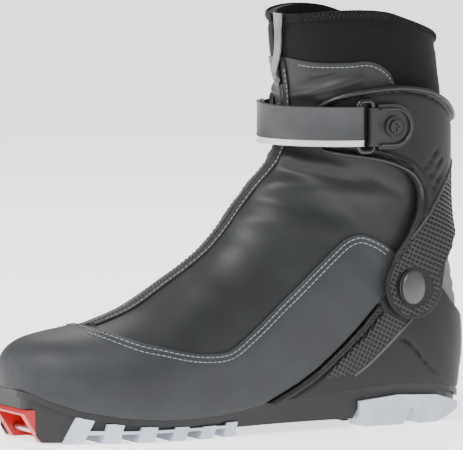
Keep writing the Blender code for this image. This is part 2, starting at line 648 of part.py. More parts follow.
def collar_opening(extra):
    """Wedge cut out of the collar's front, wider at the rim."""
    low, high = 2.0 + extra, 5.5 + extra
    points = [(x, y, z) for x in (-60.0, 0.0) for y, z in ((-low, 190.0), (low, 190.0), (high, 262.0), (-high, 262.0))]
    faces = [[0, 1, 2, 3], [7, 6, 5, 4], [0, 4, 5, 1], [1, 5, 6, 2], [2, 6, 7, 3], [3, 7, 4, 0]]
    return new_object("opening", points, faces)


def make_collar_binding():
    """Overlocked band along the collar's rim."""
    ring = shell(-1.3, -0.4, 24, TOP)
    band_side = list(RIM) + [(x, z - 5.0) for x, z in RIM[::-1]]
    keep(ring, prism(band_side, -90.0, 90.0))
    cut(ring, collar_opening(0.0))
    return finish(ring, "collar_binding", NEOPRENE)


def make_zip():
    """Closed zip from the toe seam to the slider, and the strip beside it."""
    chain = ribbon(front_line(6.5, 23.4, 22), -1.0, 0.5, -3.1, 3.1)
    facing = ribbon(front_line(6.5, 24.6, 22), 0.3, 1.1, 3.4, 8.4)
    return [finish(chain, "zip_chain", BLACK_PLASTIC), finish(facing, "zip_facing", SOFTSHELL)]


# ---------------------------------------------------------------- heel counter and cuff
LATERAL_Y = side_y(HINGE_X, HINGE_Z, 1)
MEDIAL_Y = side_y(HINGE_X, HINGE_Z, -1)
PIN_RADIUS = 4.0
PIVOT_TILT = 19.0
COUNTER_OUT = 2.8


def cuff_gap(point):
    """Offset of the cuff's inner face: larger round the hinge, over the counter's lobe."""
    distance = math.hypot(point[0] - HINGE_X, point[2] - HINGE_Z)
    blend = min(max((70.0 - distance) / 40.0, 0.0), 1.0)
    blend = blend * blend * (3 - 2 * blend)
    return 2.8 + 2.5 * blend


def cuff_outside(point):
    """Offset of the cuff's outer face."""
    return cuff_gap(point) + 2.2


def make_heel_counter():
    """Moulded heel cup with an arm on each side up to the hinge."""
    piece = shell(0.5, COUNTER_OUT, 9, 23)
    lobe = circle(HINGE_X, HINGE_Z, 16.0, 130.0, 40.0, 7)
    outline = (COUNTER_FRONT + [(-84.0, 84.0)] + lobe[::-1] + [(-124.0, 81.0), (-130.0, 74.0),
               (-142.0, 64.5), (-170.0, 57.0), (-170.0, 0.0), (-2.0, 0.0)])
    keep(piece, prism(outline, -90.0, 90.0))
    keep(piece, above_sole(GAP))
    cut(piece, rod((HINGE_X, -80.0, HINGE_Z), (HINGE_X, 80.0, HINGE_Z), PIN_RADIUS + GAP))
    return finish(piece, "heel_counter", MOULDED)


def cuff_side_outline():
    """Side outline of the cuff, with the round boss at the hinge."""
    boss = circle(HINGE_X, HINGE_Z, 19.0, 40.0, -160.0, 12)
    rear = [(-120.5, 97.0), (-129.0, 110.0), (-141.0, 116.0), (-160.0, 116.0)]
    return CUFF_TOP[::-1] + CUFF_LOW + boss + rear


def make_cuff_shell():
    """Moulded cuff: back, two wings for the strap and two arms down to the hinge."""
    piece = shell(cuff_gap, cuff_outside, 11, 26)
    keep(piece, prism(cuff_side_outline(), -90.0, 90.0))
    cut(piece, rod((HINGE_X, -80.0, HINGE_Z), (HINGE_X, 80.0, HINGE_Z), PIN_RADIUS + 2 * GAP))
    x, z = TAB_SCREW
    cut(piece, rod((x, 20.0, z), (x, 80.0, z), 3.0))
    cut(piece, rod((x, -20.0, z), (x, -80.0, z), 3.0))
    return finish(piece, "cuff_shell", MOULDED)


def make_cuff_liner():
    """Foam between the cuff and the gaiter."""
    piece = shell(0.5, 2.3, 14, 25)
    outline = [(-50.0, 180.0), (-56.0, 198.0), (-90.0, 203.0), (-113.0, 198.0), (-134.0, 182.0), (-160.0, 172.0),
               (-160.0, 122.0), (-112.0, 122.0), (-106.0, 140.0), (-104.0, 150.0), (-92.0, 160.0), (-56.0, 170.0)]
    keep(piece, prism(outline, -90.0, 90.0))
    x, z = TAB_SCREW
    cut(piece, rod((x, -80.0, z), (x, 80.0, z), 7.0))
    return finish(piece, "cuff_liner", FOAM)


def make_pivot(side, surface_y, suffix):
    """Hinge pin and the domed cap over it."""
    outward = side * (abs(surface_y) + COUNTER_OUT + 2.4 + 2.2)
    pin = rod((HINGE_X, surface_y + side * 1.6, HINGE_Z), (HINGE_X, outward + side * 0.6, HINGE_Z), PIN_RADIUS)
    pin = finish(pin, "pivot_pin_" + suffix, STEEL)
    radius, height = 10.5, 4.5
    sides = 20
    tilt = Matrix.Rotation(math.radians(-side * 90.0), 3, "X")
    lean = Matrix.Rotation(math.radians(side * PIVOT_TILT), 3, "Z")
    centre = Vector((HINGE_X, outward, HINGE_Z))
    points, faces = [], []
    levels = ((1.0, -3.0), (1.0, 2.0), (0.8, 3.2), (0.45, 4.1))
    for scale, lift in levels:
        for k in range(sides):
            a = 2 * math.pi * k / sides
            local = Vector((scale * radius * math.cos(a), scale * radius * math.sin(a), lift))
            points.append(centre + lean @ (tilt @ local))
    for level in range(len(levels) - 1):
        for k in range(sides):
            a, b = level * sides + k, level * sides + (k + 1) % sides
            faces.append([a, b, b + sides, a + sides])
    faces.append(list(range(sides)))
    points.append(centre + lean @ (tilt @ Vector((0, 0, height))))
    last = (len(levels) - 1) * sides
    faces += [[last + k, last + (k + 1) % sides, len(points) - 1] for k in range(sides)]
    cap = new_object("cap", points, faces)
    cut(cap, core(lambda point: cuff_outside(point) + GAP))
    cut(cap, rod((HINGE_X, outward - side * 6.0, HINGE_Z), (HINGE_X, outward + side * 1.6, HINGE_Z), PIN_RADIUS + 0.8))
    return [pin, finish(cap, "pivot_cap_" + suffix, DOME)]


# ---------------------------------------------------------------- strap and its fittings
STRAP_FOLD_IN, STRAP_FOLD_OUT = 0.6, 1.8  # clearance and outer face of a fold round a ring bar
FOLD_END = 135.0                          # angle at which the free end stops round the front bar
MAIN_PATH = [(-63.5, 44.9), (-54.0, 43.2), (-43.0, 37.6), (-33.2, 27.0), (-27.4, 14.0), (-25.6, 0.0),
             (-29.2, -14.0), (-36.5, -27.6), (-46.8, -38.4), (-57.0, -44.6), (-70.0, -47.2), (-92.0, -47.2)]
TAIL_PATH = [(-61.0, 51.6), (-53.0, 49.2), (-42.5, 43.3), (-30.6, 32.2), (-22.6, 17.0), (-20.2, 0.0),
             (-25.2, -15.0), (-32.6, -29.8), (-41.0, -39.6)]


def make_strap_main():
    """Strap from the medial rivet round the front to the ring."""
    path = smooth_curve(MAIN_PATH, 2)
    piece = band(path, STRAP_LOW + 1.0, STRAP_HIGH, 1.4)
    x, z = TAB_SCREW
    cut(piece, rod((x, -60.0, z), (x, -40.0, z), 2.6))
    return finish(piece, "strap_main", STRAP)


def make_strap_tail():
    """Free end of the strap, folded back over itself through the ring."""
    thickness = STRAP_FOLD_OUT - STRAP_FOLD_IN
    outer = smooth_curve(TAIL_PATH, 2)
    outline = [tuple(p) for p in outer[::-1]]
    outline += circle(*RING_FRONT, RING_WIRE + STRAP_FOLD_OUT, 110.0, FOLD_END, 3)
    outline += circle(*RING_FRONT, RING_WIRE + STRAP_FOLD_IN, FOLD_END, 110.0, 3)
    outline += [tuple(p) for p in moved_inward(outer, thickness)]
    return finish(prism(outline, STRAP_LOW, STRAP_HIGH, "z"), "strap_tail", STRAP)


def make_hook_patch():
    """Hook pad on the inner face of the strap's free end."""
    face = moved_inward(smooth_curve(TAIL_PATH, 2), STRAP_FOLD_OUT - STRAP_FOLD_IN + GAP)[6:14]
    outline = [tuple(p) for p in face] + [tuple(p) for p in moved_inward(face, 0.9)[::-1]]
    return finish(prism(outline, STRAP_LOW + 3.0, STRAP_HIGH - 3.0, "z"), "hook_patch", FOAM)


def moved_inward(path, distance):
    """Plan path moved towards the boot."""
    tangent = np.gradient(path, axis=0)
    inward = np.stack([tangent[:, 1], -tangent[:, 0]], axis=1)
    return path + distance * inward / np.linalg.norm(inward, axis=1)[:, None]


def make_ring():
    """Rounded wire ring with upright front and rear bars."""
    middle = (STRAP_LOW + STRAP_HIGH) / 2 + 0.5
    half_height = 15.2
    corner = 3.2
    path = []
    for x, z, start in ((RING_FRONT[0] - corner, middle + half_height - corner, 0.0),
                        (RING_REAR[0] + corner, middle + half_height - corner, 90.0),
                        (RING_REAR[0] + corner, middle - half_height + corner, 180.0),
                        (RING_FRONT[0] - corner, middle - half_height + corner, 270.0)):
        path += circle(x, z, corner, start, start + 90.0, 4)
    curve = bpy.data.curves.new("ring", "CURVE")
    curve.dimensions = "3D"
    curve.bevel_depth = RING_WIRE * MM
    curve.bevel_resolution = 2
    spline = curve.splines.new("POLY")
    spline.points.add(len(path) - 1)
    for point, (x, z) in zip(spline.points, path):
        point.co = (x * MM, RING_FRONT[1] * MM, z * MM, 1.0)
    spline.use_cyclic_u = True
    wire = bpy.data.objects.new("wire", curve)
    bpy.context.collection.objects.link(wire)
    mesh = bpy.data.meshes.new_from_object(wire.evaluated_get(bpy.context.evaluated_depsgraph_get()))
    bpy.data.objects.remove(wire)
    ring = bpy.data.objects.new("ring", mesh)
    bpy.context.collection.objects.link(ring)
    return finish(ring, "strap_ring", BLACK_PLASTIC)


def make_tab():
    """D-shaped plate on the cuff, folded round the ring's rear bar."""
    x, z = TAB_SCREW
    half = 13.5
    inner_y = cuff_face_y(1) + GAP
    outline = [(-73.5, z - half), (-73.5, z + half)] + circle(x, z, half, 90.0, 270.0, 12)
    plate = prism(outline, inner_y, inner_y + 2.4)
    fold = [(-76.0, inner_y + 0.2), (-76.0, inner_y + 2.2)]
    fold += circle(*RING_REAR, RING_WIRE + STRAP_FOLD_OUT, 120.0, -25.0, 7)
    fold += circle(*RING_REAR, RING_WIRE + STRAP_FOLD_IN, -25.0, 150.0, 7)
    join(plate, prism(fold, z - 11.6, z + 11.6, "z"))
    cut(plate, rod((x, 30.0, z), (x, 70.0, z), 2.6))
    return finish(plate, "strap_tab", MOULDED)


def soft_face_y(side, reach):
    """Largest |y| of the upper's surface within reach of the tab's screw."""
    x, z = TAB_SCREW
    return max(abs(side_y(x + dx, z + dz, side)) for dx in (-reach, 0.0, reach) for dz in (-reach, 0.0, reach))


def cuff_face_y(side):
    """|y| that clears the cuff's outer face all over the tab."""
    return soft_face_y(side, 12.0) + 5.0 + 1.0


def make_tab_fasteners():
    """Cup washer, screw and T-nut that hold the tab."""
    x, z = TAB_SCREW
    face = cuff_face_y(1) + GAP + 2.4 + GAP
    washer = rod((x, face, z), (x, face + 1.4, z), 6.5, 20)
    cut(washer, rod((x, face - 2.0, z), (x, face + 3.0, z), 2.6))
    finish(washer, "tab_cup_washer", MOULDED)
    inside = soft_face_y(1, 6.0) + 0.5
    screw = rod((x, face + 1.4 + GAP, z), (x, face + 2.9, z), 4.0)
    join(screw, rod((x, inside, z), (x, face + 2.3, z), 1.6))
    cut(screw, box(x - 2.4, x + 2.4, face + 2.2, face + 4.0, z - 0.5, z + 0.5))
    cut(screw, box(x - 0.5, x + 0.5, face + 2.2, face + 4.0, z - 2.4, z + 2.4))
    finish(screw, "tab_screw", STEEL)
    nut = rod((x, inside + 0.1, z), (x, inside + 1.3, z), 6.0)
    join(nut, rod((x, inside + 0.6, z), (x, face - 3.4, z), 2.6, 12))
    cut(nut, rod((x, 30.0, z), (x, 60.0, z), 1.6 + GAP))
    finish(nut, "tab_t_nut", STEEL)


def make_anchor_rivet():
    """Rivet that fixes the strap to the medial wing of the cuff."""
    x, z = TAB_SCREW
    rivet = rod((x, -49.0, z), (x, -50.4, z), 6.0)
    join(rivet, rod((x, -42.0, z), (x, -49.5, z), 2.2, 12))
    return finish(rivet, "strap_anchor_rivet", STEEL)


# ---------------------------------------------------------------- zip slider
SLIDER_LOW, SLIDER_HIGH = 23.55, 24.3     # station numbers of the closed slider's ends
SLIDER_MIDDLE = (-33.6, 0.0, 209.0)
PULL_HINGE = (-29.7, 0.0, 211.0)
PULL_HALF = 4.2


def make_slider():
    """Slider at the top of the zip, with a bridge for the pull."""
    line = front_line(SLIDER_LOW, SLIDER_HIGH, 4)
    body = ribbon(line, -0.8, 2.6, -3.0, 3.0)
    return finish(body, "zip_slider", STEEL)


def make_pull():
    """Webbing pull, flipped up against the collar's opening."""
    line = front_line(SLIDER_LOW + 0.2, 25.75, 10)
    piece = ribbon(line, 3.2, 4.4, -PULL_HALF, PULL_HALF)
    return finish(piece, "zip_pull_tape", WEBBING)


MOVING = [
    ("cuff_axis", (HINGE_X, 0.0, HINGE_Z),
     ["cuff_shell", "cuff_liner", "shaft_padding", "collar", "collar_binding", "pivot_cap_lateral",
      "pivot_cap_medial", "strap_main", "strap_anchor_rivet", "strap_tab", "tab_cup_washer", "tab_screw",
      "tab_t_nut"]),
    ("ring_axis", (*RING_REAR, (STRAP_LOW + STRAP_HIGH) / 2 + 0.5), ["strap_ring"]),
    ("tail_axis", (*RING_FRONT, (STRAP_LOW + STRAP_HIGH) / 2 + 0.5), ["strap_tail", "hook_patch"]),
    ("slider_axis", SLIDER_MIDDLE, ["zip_slider"]),
    ("pull_axis", PULL_HINGE, ["zip_pull_tape"]),
]


def hang(name, location, pieces):
    """Parent the pieces of a moving body to an empty on its joint's axis."""
    axis = bpy.data.objects.new(name, None)
    axis.location = [c * MM for c in location]
    bpy.context.collection.objects.link(axis)
    for piece in pieces:
        child = bpy.data.objects[piece]
        child.parent = axis
        child.matrix_parent_inverse = Matrix.Translation(axis.location).inverted()


def main():
    for stale in list(bpy.data.objects):
        bpy.data.objects.remove(stale)
    make_chassis()
    make_shank()
    make_forefoot_tread(1, "forefoot_tread_lateral")
    make_forefoot_tread(-1, "forefoot_tread_medial")
    make_heel_tread(1, "heel_tread_lateral")
    make_heel_tread(-1, "heel_tread_medial")
    make_toe_bar_housing()
    make_toe_bar()
    make_board("lasting_board", BOARD, BOARD_LOW, BOARD_TOP, 10.2)
    make_board("footbed", FOAM, BOARD_TOP + GAP, BOARD_TOP + 3.5, 8.2)
    make_padding()
    make_tongue()
    make_toe_puff()
    make_toe_wrap()
    make_softshell(1, "softshell_lateral")
    make_softshell(-1, "softshell_medial")
    make_achilles_panel()
    make_collar()
    make_collar_binding()
    make_zip()
    make_heel_counter()
    make_cuff_shell()
    make_cuff_liner()
    make_pivot(1, LATERAL_Y, "lateral")
    make_pivot(-1, MEDIAL_Y, "medial")
    make_strap_main()
    make_strap_tail()
    make_hook_patch()
    make_ring()
    make_tab()
    make_tab_fasteners()
    make_anchor_rivet()
    make_slider()
    make_pull()
    for name, location, pieces in MOVING:
        hang(name, location, pieces)


main()
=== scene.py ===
import math

import bpy
import bmesh
import numpy as np
from mathutils import Matrix, Vector
from mathutils.kdtree import KDTree


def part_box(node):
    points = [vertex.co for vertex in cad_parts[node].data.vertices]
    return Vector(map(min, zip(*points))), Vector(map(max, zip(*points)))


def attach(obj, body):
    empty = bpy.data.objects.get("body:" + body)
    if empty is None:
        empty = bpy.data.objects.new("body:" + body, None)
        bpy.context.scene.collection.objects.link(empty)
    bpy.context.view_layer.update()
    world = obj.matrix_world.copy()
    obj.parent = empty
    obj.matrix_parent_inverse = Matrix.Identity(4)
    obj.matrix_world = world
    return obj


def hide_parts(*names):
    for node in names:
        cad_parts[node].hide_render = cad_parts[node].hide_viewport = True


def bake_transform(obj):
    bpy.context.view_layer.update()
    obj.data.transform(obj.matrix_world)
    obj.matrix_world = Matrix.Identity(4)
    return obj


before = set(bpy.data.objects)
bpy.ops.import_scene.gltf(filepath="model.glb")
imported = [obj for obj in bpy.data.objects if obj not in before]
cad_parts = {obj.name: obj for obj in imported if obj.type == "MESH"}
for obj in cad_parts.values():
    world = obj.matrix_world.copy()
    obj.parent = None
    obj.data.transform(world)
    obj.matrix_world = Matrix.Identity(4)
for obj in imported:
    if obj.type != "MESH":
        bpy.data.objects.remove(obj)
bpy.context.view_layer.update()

MM = 0.001

# --- camera
AIM = Vector((0.0, 0.0, 0.1225))
SWING, RAISE, DISTANCE = math.radians(27.0), math.radians(5.2), 4.5
TO_CAMERA = Vector((math.sin(SWING) * math.cos(RAISE), math.cos(SWING) * math.cos(RAISE), math.sin(RAISE)))


def make_camera():
    data = bpy.data.cameras.new("camera")
    data.sensor_width = 36.0
    data.lens = 581.0
    data.clip_end = 50.0
    camera = bpy.data.objects.new("camera", data)
    camera.location = AIM + DISTANCE * TO_CAMERA
    camera.rotation_euler = (-TO_CAMERA).to_track_quat("-Z", "Y").to_euler()
    bpy.context.scene.collection.objects.link(camera)
    bpy.context.scene.camera = camera


make_camera()

# --- the last, mm
# front x, front z, back x, back z, half width lateral, half width medial,
# place of the widest point, foot width ratio, front roundness, back roundness
LAST = np.array([
    (147.2, 44.5, 147.2, 22.0, 13.0, 13.0, 0.60, 0.95, 2.4, 2.4),
    (146.2, 49.5, 146.2, 21.0, 18.0, 19.0, 0.60, 0.92, 2.4, 2.4),
    (143.4, 54.3, 143.4, 19.5, 22.5, 24.5, 0.60, 0.88, 2.4, 2.4),
    (138.0, 57.8, 138.0, 17.0, 27.0, 30.5, 0.60, 0.82, 2.4, 2.3),
    (130.0, 60.4, 130.0, 15.0, 32.5, 36.5, 0.60, 0.78, 2.4, 2.3),
    (118.0, 62.7, 118.0, 11.5, 39.0, 42.5, 0.60, 0.74, 2.3, 2.3),
    (103.0, 65.0, 103.0, 8.5, 45.0, 46.5, 0.60, 0.75, 2.3, 2.3),
    (86.0, 69.8, 84.0, 5.6, 49.5, 48.0, 0.60, 0.77, 2.2, 2.3),
    (68.0, 77.2, 64.0, 4.5, 50.5, 46.0, 0.60, 0.77, 2.1, 2.3),
    (50.0, 88.6, 42.0, 4.5, 48.5, 42.0, 0.60, 0.75, 2.0, 2.3),
    (34.0, 98.8, 18.0, 7.0, 45.0, 37.5, 0.60, 0.72, 2.0, 2.3),
    (19.0, 110.0, -8.0, 11.0, 42.0, 35.0, 0.60, 0.66, 2.0, 2.3),
    (7.0, 123.0, -36.0, 14.0, 40.5, 34.5, 0.60, 0.58, 2.0, 2.2),
    (-3.0, 136.0, -66.0, 16.5, 40.0, 36.0, 0.58, 0.56, 2.0, 2.2),
    (-11.5, 145.6, -96.0, 18.0, 40.0, 37.0, 0.56, 0.55, 2.1, 2.2),
    (-18.5, 152.8, -122.0, 15.5, 40.0, 37.5, 0.56, 0.48, 2.1, 2.1),
    (-23.5, 158.2, -141.0, 15.0, 40.0, 38.0, 0.57, 0.28, 2.1, 2.1),
    (-27.0, 162.4, -148.0, 29.0, 40.0, 38.0, 0.58, 0.06, 2.1, 2.1),
    (-29.4, 166.4, -149.2, 45.0, 40.0, 38.0, 0.60, 0.05, 2.2, 2.1),
    (-31.4, 171.0, -147.6, 64.0, 40.0, 38.5, 0.60, 0.05, 2.2, 2.1),
    (-33.0, 177.0, -143.2, 92.0, 40.0, 39.0, 0.58, 0.05, 2.2, 2.1),
    (-34.2, 184.0, -138.9, 118.0, 40.5, 39.5, 0.55, 0.05, 2.3, 2.1),
    (-34.9, 192.0, -138.8, 145.0, 41.0, 40.0, 0.52, 0.05, 2.3, 2.1),
    (-34.6, 202.0, -138.8, 172.0, 41.5, 41.0, 0.50, 0.05, 2.3, 2.1),
    (-33.0, 214.0, -138.2, 196.0, 42.0, 42.0, 0.50, 0.05, 2.3, 2.1),
    (-30.4, 228.0, -135.2, 217.0, 43.0, 43.0, 0.50, 0.05, 2.3, 2.1),
    (-28.6, 258.0, -131.8, 249.0, 44.0, 44.0, 0.50, 0.05, 2.3, 2.1),
])
TOP = len(LAST) - 1
BACK = 1.1                                  # |t| at the centre of the back
FULL = (-BACK, BACK)
HINGE = (-99.5, 84.6)
SCREW = (-84.0, 182.5)
SOLE_LINE = np.array([(-155.0, 14.5), (-141.0, 20.2), (-126.0, 24.2), (-98.0, 25.9), (-72.0, 24.8),
                      (-47.0, 22.7), (-28.0, 20.5), (-4.0, 18.0), (15.0, 15.0), (31.0, 12.9),
                      (53.0, 12.3), (73.0, 13.0), (97.0, 15.4), (117.0, 19.2), (127.0, 22.3),
                      (136.0, 25.8), (143.0, 29.4), (152.0, 32.0)])
WRAP_EDGE = [(104.0, 67.5), (97.0, 64.6), (88.7, 61.0), (79.4, 57.7), (69.1, 55.6), (52.5, 52.1),
             (37.0, 50.7), (23.8, 52.0), (11.5, 59.3), (0.4, 67.2), (-10.7, 76.2), (-24.6, 87.3),
             (-40.0, 100.4), (-52.0, 110.0), (-59.5, 114.8), (-68.4, 117.1), (-77.9, 114.0),
             (-84.5, 110.2), (-90.0, 105.6)]
COUNTER_FRONT = [(-2.0, 17.0), (-26.8, 29.2), (-39.0, 37.0), (-55.3, 50.7), (-67.6, 62.3), (-76.4, 71.8)]
CUFF_TOP = [(-44.0, 190.0), (-46.5, 197.0), (-53.1, 201.8), (-63.6, 204.8), (-77.8, 206.8), (-89.5, 207.2),
            (-103.3, 205.4), (-114.2, 202.1), (-126.2, 195.5), (-136.8, 185.6), (-143.4, 179.1),
            (-156.0, 172.0)]
CUFF_LOW = [(-44.0, 176.0), (-47.1, 168.4), (-60.7, 164.8), (-77.7, 161.2), (-89.7, 156.8), (-97.3, 152.1),
            (-101.5, 146.2), (-103.0, 140.5), (-102.1, 130.9), (-99.0, 122.8), (-94.5, 114.0), (-87.0, 104.0)]
SOFTSHELL_TOP = [(-22.0, 224.5), (-29.3, 223.9), (-41.2, 220.8), (-58.7, 220.9), (-72.3, 221.5),
                 (-84.0, 215.7), (-92.0, 205.0), (-112.0, 197.0)]
RIM = [(-20.0, 246.0), (-30.8, 249.4), (-51.0, 252.2), (-67.4, 252.5), (-83.2, 250.9), (-97.3, 246.6),
       (-118.0, 240.0), (-132.0, 234.8), (-145.0, 230.0)]
MAIN_PATH = [(-63.5, 44.9), (-54.0, 43.2), (-43.0, 37.6), (-33.2, 27.0), (-27.4, 14.0), (-25.6, 0.0),
             (-29.2, -14.0), (-36.5, -27.6), (-46.8, -38.4), (-57.0, -44.6), (-70.0, -47.2), (-92.0, -47.2)]
TAIL_PATH = [(-61.0, 51.6), (-53.0, 49.2), (-42.5, 43.3), (-30.6, 32.2), (-22.6, 17.0), (-20.2, 0.0),
             (-25.2, -15.0), (-32.6, -29.8), (-41.0, -39.6)]
STRAP_LOW, STRIPE_TOP, STRAP_TOP = 171.0, 175.0, 195.0
RING_FRONT, RING_REAR, RING_WIRE = (-61.0, 48.2), (-70.8, 48.2), 1.6
CUP_LIFT, CUFF_WALL = 2.8, 2.2              # outer face of the heel cup over the last; wall of the cuff


def spline(a, b, c, d, t):
    """Catmull-Rom value between b and c."""
    return 0.5 * (2 * b + (c - a) * t + (2 * a - 5 * b + 4 * c - d) * t ** 2
                  + (3 * b - a - 3 * c + d) * t ** 3)


def smooth(points, steps=6):
    """Catmull-Rom curve through the points."""
    p = np.array(points, dtype=float)
    q = np.vstack([2 * p[0] - p[1], p, 2 * p[-1] - p[-2]])
    t = np.linspace(0, 1, steps, endpoint=False)[:, None]
    return np.vstack([spline(*q[i - 1:i + 3], t) for i in range(1, len(q) - 2)] + [p[-1:]])


def sole_height(x):
    return np.interp(x, SOLE_LINE[:, 0], SOLE_LINE[:, 1])


def section(u):
    """Section values at station numbers u."""
    u = np.clip(np.asarray(u, dtype=float), 0.0, TOP)
    i = np.minimum(np.floor(u).astype(int), TOP - 1)
    rows = np.vstack([2 * LAST[0] - LAST[1], LAST, 2 * LAST[-1] - LAST[-2]])
    return spline(rows[i], rows[i + 1], rows[i + 2], rows[i + 3], (u - i)[..., None])


def skin(u, t):
    """Points of the upper: |t| runs from 0 on the front line to 1.1 at the centre of the back."""
    u, t = np.broadcast_arrays(np.asarray(u, float), np.asarray(t, float))
    v = np.moveaxis(section(u), -1, 0)
    fx, fz, bx, bz, lateral, medial, widest, foot, front_round, back_round = v
    s = np.minimum(np.abs(t), 1.0)
    width = np.where(t >= 0, lateral, medial)
    angle = np.where(s < 0.5, s, s - 0.5) * math.pi
    cos, sin = np.maximum(np.cos(angle), 0.0), np.maximum(np.sin(angle), 0.0)
    depth = np.where(s < 0.5, widest * (1 - cos ** (2 / front_round)),
                     widest + (1 - widest) * sin ** (2 / back_round))
    half = np.where(s < 0.5, width * sin ** (2 / front_round),
                    width * (foot + (1 - foot) * cos ** (2 / back_round)))
    half = half * (1 - np.clip((np.abs(t) - 1.0) / (BACK - 1.0), 0, 1))
    p = np.stack([fx + depth * (bx - fx), np.sign(t) * half, fz + depth * (bz - fz)], axis=-1)
    k = np.clip(1 + u, 0.0, 1.0)[..., None]
    centre = np.array([147.2, 0.0, 33.3])
    cap = centre + (p - centre) * k
    cap[..., 0] += 1.3 * (1 - k[..., 0] ** 2)
    return np.where((u < 0)[..., None], cap, p)


def normals(u, t):
    """Outward unit normals of the upper."""
    u, t = np.broadcast_arrays(np.asarray(u, float), np.asarray(t, float))
    du, dt = 0.06, 0.012
    along = skin(np.minimum(u + du, TOP), t) - skin(np.maximum(u - du, -0.98), t)
    t0, t1 = np.maximum(t - dt, -BACK), np.minimum(t + dt, BACK)
    around = skin(u, t1) - skin(u, t0)
    n = np.cross(around, along)
    n /= np.maximum(np.linalg.norm(n, axis=-1, keepdims=True), 1e-9)
    tip = np.clip((-0.7 - u) / 0.25, 0, 1)[..., None]
    n = n * (1 - tip) + np.array([1.0, 0.0, 0.0]) * tip
    return n / np.linalg.norm(n, axis=-1, keepdims=True)


def surf(u, t, offset):
    """Points at an offset from the upper."""
    return skin(u, t) + np.asarray(offset)[..., None] * normals(u, t)


def arc_table():
    u = np.linspace(-1, TOP, 600)
    total = np.zeros(600)
    for t in (0.0, 0.5, 0.95):
        p = skin(u, np.full(600, t))
        total[1:] += np.cumsum(np.linalg.norm(np.diff(p, axis=0), axis=1)) / 3
    return u, total


ARC_U, ARC = arc_table()


def u_steps(u0, u1, step):
    a0, a1 = np.interp([u0, u1], ARC_U, ARC)
    return np.interp(np.linspace(a0, a1, max(int((a1 - a0) / step), 2) + 1), ARC, ARC_U)


def side_map(sign):
    """Search tree from a side view (x, z) to the upper's parameters."""
    us, ts = np.meshgrid(np.linspace(0, TOP, 521), np.linspace(0.015, 1.0, 130), indexing="ij")
    p = skin(us, sign * ts).reshape(-1, 3)
    tree = KDTree(len(p))
    for i, q in enumerate(p):
        tree.insert((q[0], 0.0, q[2]), i)
    tree.balance()
    return tree, us.ravel(), sign * ts.ravel()


MAPS = {}


def on_side(points, sign=1):
    """Parameters (u, t) of side-view points (x, z) on one side."""
    if sign not in MAPS:
        MAPS[sign] = side_map(sign)
    tree, us, ts = MAPS[sign]
    out = []
    for x, z in points:
        i = tree.find((x, 0.0, z))[1]
        u, t = us[i], ts[i]
        for _ in range(3):
            p = skin(u, t)
            pu, pt = skin(min(u + 0.01, TOP), t), skin(u, t + sign * 0.002)
            jac = np.array([[pu[0] - p[0], pt[0] - p[0]], [pu[2] - p[2], pt[2] - p[2]]])
            gap = np.array([x - p[0], z - p[2]])
            if abs(np.linalg.det(jac)) < 1e-7:
                break
            step = np.linalg.solve(jac, gap)
            u = float(np.clip(u + np.clip(step[0], -4, 4) * 0.01, 0, TOP))
            t = sign * float(np.clip(abs(t) + np.clip(step[1], -4, 4) * 0.002, 0.004, 1.0))
        out.append((u, t))
    return np.array(out)


# --- outlines
def to_segment(a, b, x, z):
    """Distance to the segment from a to b."""
    ex, ez = b[0] - a[0], b[1] - a[1]
    k = np.clip(((x - a[0]) * ex + (z - a[1]) * ez) / (ex * ex + ez * ez + 1e-12), 0, 1)
    return np.hypot(x - a[0] - k * ex, z - a[1] - k * ez)


def near(line, x, z):
    """Distance to an open side-view line."""
    p = np.asarray(line, float)
    return np.minimum.reduce([to_segment(a, b, x, z) for a, b in zip(p[:-1], p[1:])])


def inside(outline, x, z):
    """Signed distance to a closed side-view outline, positive inside."""
    p = np.asarray(outline, float)
    best = near(np.vstack([p, p[:1]]), x, z)
    odd = np.zeros(x.shape, bool)
    for (ax, az), (bx, bz) in zip(p, np.roll(p, -1, axis=0)):
        if az != bz:
            odd ^= ((az > z) != (bz > z)) & (x < (bx - ax) * (z - az) / (bz - az) + ax)
    return np.where(odd, best, -best)


def ramp(value, low, high):
    """Smooth step from 0 at low to 1 at high."""
    k = np.clip((value - low) / (high - low), 0, 1)
    return k * k * (3 - 2 * k)


def bump_line(distance, half):
    """Rounded ridge profile across a line."""
    return np.sqrt(np.clip(1 - (distance / half) ** 2, 0, 1))


# --- mesh making
def place(made, body=None, replaces=()):
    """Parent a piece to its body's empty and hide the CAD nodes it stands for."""
    if body:
        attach(made, body)
    if replaces:
        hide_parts(*replaces)
    return made


def put(name, points, faces, look, body=None, uvs=None, sharp=45.0, replaces=(), slot=None, solid=False):
    """Object from millimetre points; a solid gets its faces turned outwards."""
    mesh = bpy.data.meshes.new(name)
    mesh.from_pydata((np.asarray(points, float) * MM).tolist(), [], faces)
    if uvs is not None:
        layer = mesh.uv_layers.new(name="UVMap")
        index = np.zeros(len(mesh.loops), np.int32)
        mesh.loops.foreach_get("vertex_index", index)
        layer.data.foreach_set("uv", np.asarray(uvs, np.float32)[index].ravel())
    mesh.validate()
    mesh.shade_smooth()
    mesh.set_sharp_from_angle(angle=math.radians(sharp))
    mesh.materials.append(look)
    made = bpy.data.objects.new(name, mesh)
    bpy.context.scene.collection.objects.link(made)
    if solid:
        flip_out(made)
    return place(made, body, replaces)


